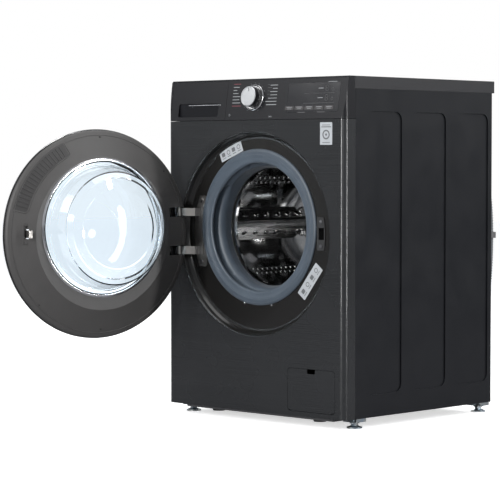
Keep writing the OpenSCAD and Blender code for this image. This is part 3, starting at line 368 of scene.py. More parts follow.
def dial_metal():
    """Spun face on the knob, above a black side."""
    s = Shade("dial_metal", (0.50, 0.51, 0.52), 0.30, 0.9)
    rings = s.new("ShaderNodeTexNoise", noise_dimensions="1D")
    rings.inputs["Scale"].default_value = 2600
    s.join(s.radius((dial_place.x, 0, dial_place.z)), rings.inputs["W"])
    height = s.new("ShaderNodeVectorMath", operation="DOT_PRODUCT")
    height.inputs[1].default_value = dial_axis
    s.join(s.place, height.inputs[0])
    face = max(dial_axis.dot(v.co) for v in nodes["dial"].data.vertices)
    top = s.spread(height.outputs["Value"], 0, 1, face - 0.0016, face - 0.0012)
    tone = s.tint(s.spread(rings.outputs["Fac"], 0, 1), (0.44, 0.45, 0.46), (0.58, 0.59, 0.60))
    mix = s.new("ShaderNodeMix", data_type="RGBA")
    s.join(top, mix.inputs[0])
    mix.inputs[6].default_value = (0.010, 0.010, 0.012, 1)
    s.join(tone, mix.inputs[7])
    s.join(mix.outputs[2], s.shader.inputs["Base Color"])
    s.join(top, s.shader.inputs["Metallic"])
    return s.bump(rings.outputs["Fac"], 0.12, 0.0002).material


def windings():
    """Copper turns on the stator's teeth, steel at its hub."""
    s = Shade("copper_windings", (0.45, 0.20, 0.08), 0.35, 1.0)
    far = s.spread(s.radius((0, 0, AXIS_Z)), 0, 1, 0.094, 0.096)
    tone = s.tint(far, (0.30, 0.30, 0.31), (0.45, 0.19, 0.07))
    s.join(tone, s.shader.inputs["Base Color"])
    return s.bump(s.noise(900, 1, (0.2, 1, 0.2)), 0.4, 0.0004).material


M = {
    "black_steel": brushed_black(),
    "dark_paint": powder_coat(),
    "laminate": laminate(),
    "panel_black": brushed_panel(),
    "window_black": gloss("window_black", (0.005, 0.005, 0.007), 0.14),
    "gloss_black": gloss("gloss_black", (0.012, 0.012, 0.014)),
    "frame_grey": plastic("frame_grey", (0.052, 0.050, 0.049), 0.46),
    "grey_plastic": plastic("grey_plastic", (0.10, 0.10, 0.105), 0.5),
    "black_plastic": plastic("black_plastic", (0.018, 0.018, 0.019), 0.42),
    "white_plastic": plastic("white_plastic", (0.60, 0.61, 0.60), 0.38),
    "rubber_grey": rubber("gasket_rubber", (0.052, 0.070, 0.092)),
    "hose_grey": rubber("hose_grey", (0.11, 0.12, 0.13), 0.5),
    "silver": spun_metal("spun_silver", dial_place.z),
    "stainless": metal("stainless", (0.62, 0.62, 0.63), 0.12, (1, 0.02, 1), 500, 0.03),
    "mirror_steel": metal("mirror_steel", (0.66, 0.66, 0.66), 0.07, (1, 1, 1), 40, 0.04),
    "zinc": zinc_plate(),
    "cast_alloy": metal("cast_alloy", (0.50, 0.51, 0.52), 0.45, (1, 1, 1), 400, 0.35, 0.12),
    "cast_weight": plastic("cast_weight", (0.22, 0.215, 0.205), 0.85, 260, 0.6, 0.2),
    "copper_steel": windings(),
    "glass": clear_glass(),
    "circuit": plastic("circuit", (0.03, 0.05, 0.04), 0.5),
}
M["lifter_steel"] = metal("lifter_steel", (0.82, 0.82, 0.82), 0.24, (1, 0.02, 1), 500, 0.03)
M["grip_dark"] = plastic("grip_dark", (0.026, 0.025, 0.025), 0.5)
M["mark"] = plastic("printed_mark", (0.27, 0.28, 0.29), 0.5)
M["key_grey"] = plastic("key_grey", (0.030, 0.027, 0.028), 0.5)
M["mark_dim"] = plastic("printed_mark_dim", (0.085, 0.085, 0.088), 0.5)
M["mark_red"] = plastic("printed_mark_red", (0.15, 0.030, 0.042), 0.5)
M["label"] = plastic("label_paper", (0.40, 0.42, 0.44), 0.45, 600, 0.05)
M["label_ink"] = plastic("label_ink", (0.10, 0.105, 0.11), 0.5)
M["hinge_steel"] = metal("hinge_steel", (0.22, 0.21, 0.20), 0.36, (1, 1, 0.05), 500, 0.08)
M["hinge_dark"] = metal("hinge_dark", (0.07, 0.07, 0.07), 0.28, (1, 1, 0.05), 500, 0.08)
M["dial_silver"] = dial_metal()
# Near black; on the drum's holes, the latch plate's slot, the rear vents and the screw crosses it is
# painted shade standing in for openings and recesses.
M["dark_hole"] = plastic("dark_hole", (0.004, 0.004, 0.004), 0.7)
M["silver_trim"] = metal("silver_trim", (0.72, 0.72, 0.74), 0.16, (1, 1, 1), 200, 0.02)
M["blue_cap"] = plastic("blue_cap", (0.035, 0.075, 0.11), 0.4)

for name, slot_name in SLOTS.items():
    data = nodes[name].data
    data.materials.clear()
    data.materials.append(M[slot_name])
for name in ("drum_front", "drum_back"):
    nodes[name].data.materials[0] = M["mirror_steel"]
for name in ("lifter_1", "lifter_2", "lifter_3"):
    nodes[name].data.materials[0] = M["lifter_steel"]
nodes["door_cover"].data.materials[0] = cover_glass()
nodes["hinge_bracket"].data.materials[0] = M["hinge_steel"]
nodes["hinge_pins"].data.materials[0] = M["hinge_dark"]
nodes["latch_hook"].data.materials[0] = M["hinge_steel"]
nodes["dial"].data.materials[0] = M["dial_silver"]
nodes["filter_cap"].data.materials[0] = M["blue_cap"]

# ---- mesh helpers ----


def add_mesh(name, points, faces, material, body, smooth=35):
    """A new piece that rides on a body; its edges sharper than smooth degrees stay sharp."""
    data = bpy.data.meshes.new(name)
    data.from_pydata([tuple(p) for p in points], [], [tuple(f) for f in faces])
    data.update()
    data.materials.append(material)
    piece = bpy.data.objects.new(name, data)
    scene.collection.objects.link(piece)
    tidy = bmesh.new()
    tidy.from_mesh(data)
    bmesh.ops.remove_doubles(tidy, verts=tidy.verts, dist=1e-6)
    bmesh.ops.recalc_face_normals(tidy, faces=tidy.faces)
    for edge in tidy.edges:
        two = len(edge.link_faces) == 2
        edge.smooth = two and edge.calc_face_angle() < math.radians(smooth)
    for face in tidy.faces:
        face.smooth = True
    tidy.to_mesh(data)
    tidy.free()
    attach(piece, body)
    return piece


class Shape:
    """Points and faces gathered from several small solids."""

    def __init__(self):
        self.points, self.faces = [], []

    def add(self, points, faces, matrix=None):
        base = len(self.points)
        for p in points:
            self.points.append(matrix @ Vector(p) if matrix else Vector(p))
        self.faces += [[i + base for i in f] for f in faces]
        return self

    def loops(self, rings, matrix=None, cap_start=True, cap_end=True):
        """Skins a list of rings, each with the same number of points."""
        n = len(rings[0])
        points = [p for ring in rings for p in ring]
        faces = []
        for i in range(len(rings) - 1):
            for k in range(n):
                a, b = i * n + k, i * n + (k + 1) % n
                faces.append([a, b, b + n, a + n])
        if cap_start:
            faces.append(list(range(n))[::-1])
        if cap_end:
            faces.append([(len(rings) - 1) * n + k for k in range(n)])
        return self.add(points, faces, matrix)

    def plate(self, matrix, width, height, thick, corner=0.001):
        """A rounded plate standing on its own XY plane, with a small bevel round its top."""
        edge = min(0.3 * thick, 0.0008)
        corner = min(corner, width / 2 - 1e-5, height / 2 - 1e-5)
        rings = [
            outline(width, height, corner, 0.0, 0.0),
            outline(width, height, corner, 0.0, thick - edge),
            outline(width, height, corner, edge, thick),
        ]
        return self.loops(rings, matrix)

    def ring(self, matrix, r_in, r_out, thick, n=40):
        """A flat ring with rounded shoulders."""
        e = min(thick * 0.3, (r_out - r_in) * 0.2)
        outside = [(r_in, 0), (r_out, 0), (r_out, thick - e), (r_out - e, thick)]
        line = outside + [(r_in + e, thick), (r_in, thick - e)]
        rings = []
        for k in range(n + 1):
            a = 2 * math.pi * k / n
            rings.append([(r * math.cos(a), r * math.sin(a), z) for r, z in line])
        return self.loops(rings, matrix, False, False)

    def dome(self, matrix, radius, height, n=16, steps=4):
        """A low dome standing on its own XY plane."""
        rings = []
        for i in range(steps):
            a = math.pi / 2 * i / steps
            r, z = radius * math.cos(a), height * math.sin(a)
            rings.append([(r * math.cos(t), r * math.sin(t), z) for t in turn(n)])
        return self.loops(rings, matrix)

    def build(self, name, material, body, slot, smooth=35):
        return add_mesh(name, self.points, self.faces, material, body, smooth)


def turn(n, start=0.0):
    """Angles of n even steps round a circle."""
    return [start + 2 * math.pi * k / n for k in range(n)]


def outline(width, height, corner, inset, z, n=4):
    """Points round a rectangle with rounded corners."""
    points = []
    for sx, sy, start in ((1, 1, 0), (-1, 1, 90), (-1, -1, 180), (1, -1, 270)):
        r = max(corner - inset, 1e-5)
        cx, cy = sx * (width / 2 - corner), sy * (height / 2 - corner)
        for k in range(n + 1):
            a = math.radians(start + 90 * k / n)
            points.append((cx + r * math.cos(a), cy + r * math.sin(a), z))
    return points


def frame_at(origin, x_axis, y_axis):
    """A place with its own X and Y directions; its Z looks out of them."""
    x, y = Vector(x_axis).normalized(), Vector(y_axis).normalized()
    z = x.cross(y)
    m = Matrix((x, y, z)).transposed().to_4x4()
    m.translation = Vector(origin)
    return m


def spin(degrees):
    return Matrix.Rotation(math.radians(degrees), 4, "Z")


def on_front(x, z, y=None, degrees=0):
    """A place on an upright face that looks to the front."""
    return frame_at((x, front_y if y is None else y, z), (1, 0, 0), (0, 0, 1)) @ spin(degrees)


def on_rear(x, z, y):
    """A place on an upright face that looks to the back."""
    return frame_at((x, y, z), (-1, 0, 0), (0, 0, 1))


UP_PANEL = Vector((0, dial_axis.z, -dial_axis.y))


def on_panel(x, z, lift=0.0):
    """A place on the sloping face of the control panel."""
    along = (z - dial_place.z) / UP_PANEL.z
    place = Vector((x, dial_place.y, dial_place.z)) + UP_PANEL * along + dial_axis * lift
    return frame_at(place, (1, 0, 0), UP_PANEL)


SWING = (
    Matrix.Translation(door_hinge)
    @ Matrix.Rotation(-DOOR_ANGLE, 4, "Z")
    @ Matrix.Translation(-door_hinge)
)


def in_door(x, z, y):
    """A place on the door's inner side, given where it is with the door shut."""
    return SWING @ frame_at((x, y, z), (-1, 0, 0), (0, 0, 1))


def lathe(shape, line, centre, n=128, matrix=None, change=None):
    """Turns a closed line of (radius, y) about the Y axis through centre."""
    rings = []
    for k in range(n + 1):
        a = 2 * math.pi * k / n
        ring = []
        for i, (r, y) in enumerate(line):
            dr, dy = change(a, i, r, y) if change else (0, 0)
            rr = r + dr
            ring.append((centre[0] + rr * math.cos(a), y + dy, centre[1] + rr * math.sin(a)))
        rings.append(ring)
    shape.loops(rings, matrix, False, False)


def smooth_line(points, per):
    """A rounded line through points, as a Catmull-Rom curve."""
    p = [np.array(q, float) for q in points]
    n = len(p)
    out = []
    for i in range(n - 1):
        a = p[i - 1] if i > 0 else 2 * p[0] - p[1]
        b, c = p[i], p[i + 1]
        d = p[i + 2] if i + 2 < n else 2 * p[-1] - p[-2]
        square = 2 * a - 5 * b + 4 * c - d
        cube = 3 * b - 3 * c + d - a
        for k in range(per):
            t = k / per
            out.append(0.5 * (2 * b + (c - a) * t + square * t**2 + cube * t**3))
    out.append(p[-1])
    return [tuple(q) for q in out]


# ---- door gasket ----


def free(piece):
    """Takes a piece off its body."""
    world = piece.matrix_world.copy()
    piece.parent = None
    piece.matrix_world = world
    del piece["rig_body"]


def bell(a, centre, width):
    """1 at an angle, falling smoothly to 0 half a width away."""
    d = abs((a - centre + math.pi) % (2 * math.pi) - math.pi)
    return 0.5 + 0.5 * math.cos(math.pi * min(1, 2 * d / width))


def flexible(name):
    """Copies an upright rubber or spring node into a new piece on no body, and hides the node."""
    piece = bpy.data.objects.new(name + "_flex", nodes[name].data.copy())
    scene.collection.objects.link(piece)
    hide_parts(name)
    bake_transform(piece)


# The gasket's section: radius in metres, and millimetres behind the front panel.
GASKET_FACE = (
    (0.1945, 19.0), (0.1940, 17.2), (0.1912, 15.3), (0.1855, 14.4), (0.1790, 14.5), (0.1740, 15.9),
    (0.1690, 16.9), (0.1640, 17.5), (0.1608, 19.2), (0.1600, 21.4), (0.1612, 23.8), (0.1662, 25.8),
    (0.1735, 27.2), (0.1752, 31.0), (0.1745, 36.0), (0.1690, 39.5), (0.1600, 41.5), (0.1548, 44.5),
    (0.1520, 49.0), (0.1504, 55.0), (0.1492, 62.0), (0.1480, 69.0), (0.1478, 74.0), (0.1492, 77.5),
    (0.1515, 79.0),
)
GASKET_BACK = (
    (0.1545, 79.0), (0.1560, 72.0), (0.1560, 60.0), (0.1575, 52.0), (0.1605, 46.5), (0.1700, 43.0),
    (0.1776, 38.5), (0.1782, 31.0), (0.1770, 25.5), (0.1770, 20.4), (0.1840, 19.9), (0.1942, 19.8),
)
GASKET_PAD = math.radians(124)
GASKET_DRAIN = math.radians(206)


def depth(mm):
    """Y at a number of millimetres behind the front panel's face."""
    return front_y + mm * MM


def gasket_fold(angle, radius, y):
    """How far the gasket's inside moves off its round section, at its pad and its drain folds."""
    share = (y - depth(20)) / 0.058
    if share < 0 or share > 1:
        return 0
    swell = math.sin(math.pi * share) ** 0.5
    pad = min(1, 2.2 * bell(angle, GASKET_PAD, math.radians(56)))
    level = 0.1535 - 0.0045 * share
    flat = level - radius if radius > level else 0
    drain = bell(angle, GASKET_DRAIN, math.radians(150))
    crest = math.exp(-(((share - 0.62) / 0.16) ** 2))
    trough = 0.5 * math.exp(-(((share - 0.30) / 0.10) ** 2))
    return flat * pad * swell - 0.0024 * drain * (crest - trough) * (1 - pad)


def gasket():
    face = smooth_line([(r, depth(mm), 0) for r, mm in GASKET_FACE], 3)
    back = smooth_line([(r, depth(mm), 0) for r, mm in GASKET_BACK], 1)
    line = [(p[0], p[1]) for p in face + back]

    def change(angle, i, radius, y):
        return (gasket_fold(angle, radius, y) if i < len(face) else 0), 0

    shape = Shape()
    lathe(shape, line, (0, AXIS_Z), 224, change=change)
    piece = shape.build("gasket", M["rubber_grey"], "cabinet", "rubber_grey", 60)
    free(piece)
    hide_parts("door_gasket")
    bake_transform(piece)

    beads = Shape()
    bead_r = 0.0007
    for radius, mm in ((0.1885, 14.8), (0.1800, 14.7)):
        ring = [(radius + bead_r * math.cos(t), depth(mm) + bead_r * math.sin(t)) for t in turn(8)]
        lathe(beads, ring, (0, AXIS_Z), 160)
    beads.build("gasket_beads", M["rubber_grey"], "cabinet", "rubber_grey")

    studs = Shape()
    stud_r = 0.1968
    for degrees in (-104, -77):
        a = math.radians(degrees)
        spot = on_front(stud_r * math.cos(a), AXIS_Z + stud_r * math.sin(a), RECESS_Y)
        studs.dome(spot, 0.0032, 0.0020)
    studs.build("gasket_studs", M["stainless"], "cabinet", "stainless")


# ---- drum ----


def drum_shell():
    """The drum wall, with lines of round holes pressed slightly outwards beside the lifters."""
    around, along = 126, 34
    margin = 0.018
    pattern = around // 3
    perforated = {10, 11, 31, 32}
    shape = Shape()
    y_edges = np.linspace(DRUM_Y0 + margin, DRUM_Y1 - margin, along + 1)
    hole = 0.0019
    rim_r = 1.9 * hole
    sides = 8
    step = 2 * math.pi / around

    def at(a, y, out=0.0):
        r = DRUM_R + out
        return (r * math.cos(a), y, AXIS_Z + r * math.sin(a))

    points, faces = [], []
    grid = {}

    def corner(i, j):
        key = (i % around, j)
        if key not in grid:
            grid[key] = len(points)
            points.append(at(step * (i % around), y_edges[j]))
        return grid[key]

    for i in range(around):
        centre_a = step * (i + 0.5)
        for j in range(along):
            c = [corner(i, j), corner(i + 1, j), corner(i + 1, j + 1), corner(i, j + 1)]
            if i % pattern not in perforated or (i + j) % 2:
                faces.append(c)
                continue
            cy = (y_edges[j] + y_edges[j + 1]) / 2
            rim, lip = [], []
            for t in turn(sides, math.pi + math.pi / sides):
                da, dy = math.cos(t), math.sin(t)
                rim.append(len(points))
                points.append(at(centre_a + rim_r * da / DRUM_R, cy + rim_r * dy))
                lip.append(len(points))
                points.append(at(centre_a + hole * da / DRUM_R, cy + hole * dy, 0.0007))
            for k in range(sides):
                m = (k + 1) % sides
                faces.append([rim[k], rim[m], lip[m], lip[k]])
            for k in range(4):
                a, b = 2 * k, 2 * k + 1
                faces.append([c[k], rim[b], rim[a]])
                faces.append([c[k], c[(k + 1) % 4], rim[(b + 1) % sides], rim[b]])
    for edge_y, end_y in ((0, DRUM_Y0), (along, DRUM_Y1)):
        for i in range(around):
            a, b = corner(i, edge_y), corner(i + 1, edge_y)
            p, q = at(step * i, end_y), at(step * (i + 1), end_y)
            points.extend((p, q))
            faces.append([a, b, len(points) - 1, len(points) - 2])
    shape.add(points, faces)
    piece = shape.build("drum_wall", M["mirror_steel"], "drum", "stainless", 60)
    skin = piece.modifiers.new("sheet", "SOLIDIFY")
    skin.thickness = 0.0007
    skin.offset = 0
    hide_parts("drum_shell")


def on_wall(degrees, y):
    """A place on the drum's wall, its Z towards the axis and its Y around the wall."""
    a = math.radians(degrees)
    out = Vector((math.cos(a), 0, math.sin(a)))
    around = Vector((-math.sin(a), 0, math.cos(a)))
    place = Vector((0, y, AXIS_Z)) + out * DRUM_R
    return frame_at(place, (0, 1, 0), around)


# Each lifter face runs from its base to its tip: (distance from the axis, half width).
LIFTER_BASE = (0.222, 0.034)
LIFTER_TIP = (0.188, 0.008)
LIFTER_DIMPLES = (0.0135, 0.0085, 0.0080, 0.0085, 0.0105, 0.0100, 0.0115)


def lifter_marks(dimples, holes):
    """A row of dimples and a row of small holes on both faces of each lifter."""
    for degrees in (-60, 180, 60):
        a = math.radians(degrees)
        out = Vector((math.cos(a), 0, math.sin(a)))
        around = Vector((-math.sin(a), 0, math.cos(a)))
        for sign in (1, -1):
            base = Vector((0, 0, AXIS_Z)) + out * LIFTER_BASE[0] + around * LIFTER_BASE[1] * sign
            tip = Vector((0, 0, AXIS_Z)) + out * LIFTER_TIP[0] + around * LIFTER_TIP[1] * sign
            up = (tip - base).normalized()
            x_axis = Vector((0, 1, 0))
            if x_axis.cross(up).dot(around * sign) < 0:
                x_axis = -x_axis
            for k, size in enumerate(LIFTER_DIMPLES):
                y = DRUM_Y0 + 0.048 + k * 0.0415
                spot = frame_at(base.lerp(tip, 0.42) + Vector((0, y, 0)), x_axis, up)
                dimples.dome(spot, size, size * 0.55, 24, 6)
            # Dark rings where the lifter's holes are: painted shade, not openings.
            for k in range(24):
                y = DRUM_Y0 + 0.034 + k * 0.0114
                spot = frame_at(base.lerp(tip, 0.02) + Vector((0, y, 0)), x_axis, up)
                holes.ring(spot, 0.0004, 0.0010, 0.0003, 8)


def drum_pad(dimples, pads, holes, spot):
    """A raised oval pad with seven pressed holes in two rows."""
    width, height, corner = 0.072, 0.030, 0.0140
    steps = ((0, -0.0002), (0.0012, 0.0018), (0.0035, 0.0032), (0.0060, 0.0034))
    pads.loops([outline(width, height, corner, inset, z, 6) for inset, z in steps], spot)
    for count, across in ((4, 0.0046), (3, -0.0046)):
        for i in range(count):
            along = (i - (count - 1) / 2) * 0.0115
            place = spot @ Matrix.Translation((along, across, 0.0032))
            dimples.dome(place, 0.0026, 0.0014, 12, 3)
            # Dark ring on each dimple: painted shade where the hole is.
            holes.ring(place @ Matrix.Translation((0, 0, 0.0006)), 0.0005, 0.0013, 0.0010, 8)


def drum_details():
    dimples, holes, pads = Shape(), Shape(), Shape()
    lifter_marks(dimples, holes)
    for middle in (0, 120, 240):
        for row, shift in ((-14, 0.0), (14, 0.055)):
            for k in range(2):
                y = DRUM_Y0 + 0.085 + shift + k * 0.125
                drum_pad(dimples, pads, holes, on_wall(middle + row, y))
        for row in (-33, 0, 33):
            for k in range(9):
                spot = on_wall(middle + row, DRUM_Y0 + 0.040 + k * 0.034)
                dimples.dome(spot, 0.0042, 0.0022, 16, 4)
    dimples.build("lifter_dimples", M["mirror_steel"], "drum", "stainless")
    pads.build("drum_pads", M["mirror_steel"], "drum", "stainless")
    # drum_holes: dark rings of painted shade for the holes of the lifters and pads.
    holes.build("drum_holes", M["dark_hole"], "drum", "stainless")

    back = Shape()
    wall_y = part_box("drum_back")[0].y + 0.0062
    circles = ((0.055, 12, 0.005), (0.105, 24, 0.004), (0.135, 30, 0.004), (0.195, 42, 0.0045))
    for radius, count, size in circles:
        for t in turn(count):
            spot = on_front(radius * math.cos(t), AXIS_Z + radius * math.sin(t), wall_y)
            back.ring(spot, size * 0.55, size, 0.0012, 12)
    back.build("drum_back_rings", M["mirror_steel"], "drum", "stainless")


# ---- door ----


def slope_y(r):
    """Y of the inner frame's face at a radius from the door's centre, with the door shut."""
    if r < 0.188:
        return INNER_Y
    if r < 0.194:
        return INNER_Y - 0.002 * (r - 0.188) / 0.006
    return INNER_Y - 0.002 - (r - 0.194) / 0.060 * 0.0210


def tilt_towards(t):
    """Tilts a place on the inner frame's slope, at an angle round the door."""
    axis = Vector((math.sin(t), math.cos(t), 0))
    return Matrix.Rotation(FRAME_SLOPE, 4, axis)


def ring_round_glass(name, line, material, slot):
    """A ring round the door's bowl; its line is radius and height over the inner frame."""
    shape = Shape()
    lathe(shape, [(r, INNER_Y + up) for r, up in line], (0, GLASS_Z), 160, matrix=SWING)
    shape.build(name, material, "door", slot)


GRIP_IN = 0.213
GRIP_OUT = 0.2375


def grip_patch():
    """The thin dark patch under the grip, with rounded ends."""
    shape = Shape()
    first, last = 15.2, 65.4
    rows = []
    for a in np.linspace(first, last, 60):
        t = math.radians(a)
        end = min(a - first, last - a) / 1.6
        short = 0.0075 * (1 - min(1, end)) ** 2
        radii = np.linspace(0.2132 + short, 0.2478, 8)
        row = [(r * math.cos(t), slope_y(r) + 0.0003, DOOR_Z + r * math.sin(t)) for r in radii]
        rows.append(row + [(x, y - 0.0008, z) for x, y, z in reversed(row)])
    shape.loops(rows, SWING)
    shape.build("grip_patch", M["grip_dark"], "door", "frame_grey", 50)


def grip_lip():
    """A bead along the grip's inner side and both of its ends."""
    shape = Shape()
    path = [(0.2475, 14.4), (GRIP_IN + 0.007, 14.4), (GRIP_IN + 0.0015, 15.4)]
    path += [(GRIP_IN, a) for a in np.linspace(17.5, 63, 26)]
    path += [(GRIP_IN + 0.0015, 65.2), (GRIP_IN + 0.007, 66.2), (0.2475, 66.2)]
    section = ((-0.0016, -0.001), (-0.0010, 0.0009), (0, 0.0014), (0.0010, 0.0009), (0.0016, -0.001))
    rings = []
    for i, (r, degrees) in enumerate(path):
        a = math.radians(degrees)
        centre = Vector((r * math.cos(a), slope_y(r), DOOR_Z + r * math.sin(a)))
        (r_a, t_a), (r_b, t_b) = path[max(i - 1, 0)], path[min(i + 1, len(path) - 1)]
        t_a, t_b = math.radians(t_a), math.radians(t_b)
        across = r_b * math.cos(t_b) - r_a * math.cos(t_a)
        upward = r_b * math.sin(t_b) - r_a * math.sin(t_a)
        side = Vector((across, 0, upward)).normalized().cross(Vector((0, 1, 0)))
        rings.append([centre + side * dx + Vector((0, dy, 0)) for dx, dy in section])
    shape.loops(rings, SWING)
    shape.build("grip_lip", M["frame_grey"], "door", "frame_grey")


def grip_ribs():
    shape = Shape()
    section = ((-0.0026, -0.001), (-0.0014, 0.0013), (0.0014, 0.0013), (0.0026, -0.001))
    for a in np.arange(18.0, 63.5, 2.6):
        t = math.radians(a)
        out = Vector((math.cos(t), 0, math.sin(t)))
        around = Vector((-math.sin(t), 0, math.cos(t)))
        rings = []
        for r in np.linspace(GRIP_IN + 0.0038, GRIP_OUT + 0.0060, 5):
            centre = Vector((r * out.x, slope_y(r), DOOR_Z + r * out.z))
            rings.append([centre + around * dx + Vector((0, dy, 0)) for dx, dy in section])
        shape.loops(rings, SWING)
    shape.build("grip_ribs", M["grip_dark"], "door", "frame_grey")


def latch_marks():
    """The latch plate's outline and slot, its screws, and the marks round the inner frame."""
    hook_x, hook_z = 0.209, 0.469
    tilt = Matrix.Rotation(FRAME_SLOPE, 4, "Y")
    spot = in_door(hook_x - 0.001, hook_z, slope_y(hook_x) + 0.0002) @ tilt
    half_w, half_h, line = 0.0150, 0.0245, 0.0012
    plate = Shape()
    for dz in (half_h, -half_h):
        plate.plate(spot @ Matrix.Translation((0, dz, -0.0006)), 0.030, line, 0.0014, 0.0005)
    for dx in (-half_w, half_w):
        plate.plate(spot @ Matrix.Translation((dx, 0, -0.0006)), line, 0.050, 0.0014, 0.0005)
    plate.build("latch_outline", M["frame_grey"], "door", "frame_grey")
    dark = Shape()
    # The slot is a dark plate: painted shade where the opening is.
    dark.plate(spot @ Matrix.Translation((0, 0.0172, -0.0004)), 0.0135, 0.0060, 0.0007, 0.0015)
    for dz in (0.0195, -0.0195):
        for dx in (-0.0105, 0.0105):
            dark.dome(spot @ Matrix.Translation((dx, dz, -0.0001)), 0.0014, 0.0004, 10, 2)
    around = ((171, 0.243), (188, 0.243), (-90, 0.236), (90, 0.240))
    around += tuple((degrees, 0.241) for degrees in (140, -140, -45))
    for degrees, r in around:
        t = math.radians(degrees)
        place = in_door(r * math.cos(t), DOOR_Z + r * math.sin(t), slope_y(r) - 0.0001)
        dark.plate(place @ tilt_towards(t), 0.0050, 0.0050, 0.0006, 0.0024)
    dark.build("door_marks", M["dark_hole"], "door", "frame_grey")


def door_seam():
    shape = Shape()
    radius, bead = 0.2452, 0.0007
    y = slope_y(radius) + 0.0002
    line = [(radius + bead * math.cos(t), y + bead * math.sin(t)) for t in turn(8)]
    lathe(shape, line, (0, DOOR_Z), 160, matrix=SWING)
    shape.build("door_seam", M["frame_grey"], "door", "frame_grey")


def door_details():
    trim = ((0.1725, -0.001), (0.1725, 0.0012), (0.1700, 0.0026), (0.1668, 0.0026))
    trim += ((0.1652, 0.0012), (0.1652, -0.001))
    ring_round_glass("glass_trim", trim, M["silver_trim"], "silver")
    seal = ((0.1652, -0.001), (0.1652, 0.0010), (0.1638, 0.0014), (0.1628, 0.0010), (0.1628, -0.001))
    ring_round_glass("glass_seal", seal, M["dark_hole"], "black_plastic")
    grip_patch()
    grip_lip()
    grip_ribs()
    latch_marks()
    door_seam()


# ---- control panel ----


MARK = 0.00025
SEGMENT_LIFT = 0.0004


def programme_marks(bright, dim, red):
    """Bars for the programme names on both sides of the dial, and dots round it."""
    left = (0.024, 0.020, 0.013, 0.018, 0.025, 0.023, 0.027, 0.030)
    for i, wide in enumerate(left):
        shape = red if i in (0, 7) else bright
        shape.plate(on_panel(-0.0775 + wide / 2, 0.8375 - i * 0.0078), wide, 0.0017, MARK, 0.0005)
    right = (0.025, 0.016, 0.024, 0.023, 0.029, 0.037, 0.034)
    for i, wide in enumerate(right):
        bright.plate(on_panel(0.0725 - wide / 2, 0.8325 - i * 0.0080), wide, 0.0017, MARK, 0.0005)
        lead = 0.0725 - wide - 0.039 - 0.003
        if lead > 0.002:
            spot = on_panel(0.039 + lead / 2, 0.8345 - i * 0.0080)
            dim.plate(spot, lead, 0.0008, MARK, 0.0003)
    dots_r = 0.0362
    for t in np.linspace(-60, 240, 15):
        a = math.radians(t)
        spot = on_panel(dial_place.x + dots_r * math.cos(a), dial_place.z + dots_r * math.sin(a))
        bright.dome(spot, 0.0008, MARK, 8, 2)


def power_and_start(bright):
    power = on_panel(-0.083, 0.760)
    bright.ring(power, 0.0022, 0.0028, MARK, 24)
    bright.plate(power @ Matrix.Translation((0, 0.0022, 0)), 0.0007, 0.0030, MARK, 0.0003)
    start = on_panel(0.056, 0.755)
    arrow = ((-0.0035, -0.0022), (0.0003, 0), (-0.0035, 0.0022))
    bright.loops([[(x, y, z) for x, y in arrow] for z in (0, MARK)], start)
    for dx in (0.0022, 0.0042):
        bright.plate(start @ Matrix.Translation((dx, 0, 0)), 0.0008, 0.0042, MARK, 0.0003)


def touch_keys(bright, keys):
    thin = 0.0001
    for i in range(5):
        key = on_panel(0.118 + i * 0.0322, 0.7748, SEGMENT_LIFT)
        keys.plate(key, 0.0285, 0.0098, thin, 0.0006)
        bright.plate(key @ Matrix.Translation((0, 0.0020, thin)), 0.018, 0.0013, thin, 0.0004)
        bright.plate(key @ Matrix.Translation((0, -0.0020, thin)), 0.013, 0.0010, thin, 0.0004)


def display_digits(bright, dim):
    """Two unlit digits with a bar before each and a ring after it."""
    for x in (0.158, 0.222):
        dim.plate(on_panel(x, 0.7640), 0.024, 0.0014, MARK, 0.0005)
    for z in (0.8096, 0.7857):
        dim.plate(on_panel(0.2115, z, SEGMENT_LIFT), 0.098, 0.0007, MARK, 0.0003)
    bright.plate(on_panel(0.252, 0.8368, SEGMENT_LIFT), 0.028, 0.0013, MARK, 0.0004)
    for z in (0.8215, 0.7985):
        bright.plate(on_panel(0.2155, z, SEGMENT_LIFT), 0.016, 0.0016, MARK, 0.0005)
        for dz in (0.0068, 0, -0.0068):
            dim.plate(on_panel(0.2355, z + dz, SEGMENT_LIFT), 0.0060, 0.0009, MARK, 0.0003)
        for dz in (0.0034, -0.0034):
            for dx in (-0.0040, 0.0040):
                spot = on_panel(0.2355 + dx, z + dz, SEGMENT_LIFT)
                dim.plate(spot, 0.0009, 0.0052, MARK, 0.0003)
        dim.ring(on_panel(0.2540, z - 0.003, SEGMENT_LIFT), 0.0028, 0.0036, MARK, 20)


def dial_details():
    """The pointer on the knob's face and the flutes round its side."""
    knob = Shape()
    face = max(dial_axis.dot(Vector(c) - dial_place) for c in node_points("dial"))
    knob_at = frame_at(dial_place + dial_axis * face, (1, 0, 0), UP_PANEL)
    pointer = knob_at @ Matrix.Translation((0, 0.0165, -0.0001))
    knob.plate(pointer, 0.0012, 0.0075, 0.0004, 0.0005)
    knob.build("dial_pointer", M["label_ink"], "dial", "silver")
    grips = Shape()
    side = Matrix.Translation((0.0248, 0, -0.0135))
    for t in turn(60):
        spot = Matrix.Rotation(t, 4, "Z") @ side @ Matrix.Rotation(math.pi / 2, 4, "Y")
        grips.plate(knob_at @ spot, 0.0130, 0.0010, 0.0006, 0.0004)
    grips.build("dial_flutes", M["gloss_black"], "dial", "gloss_black")


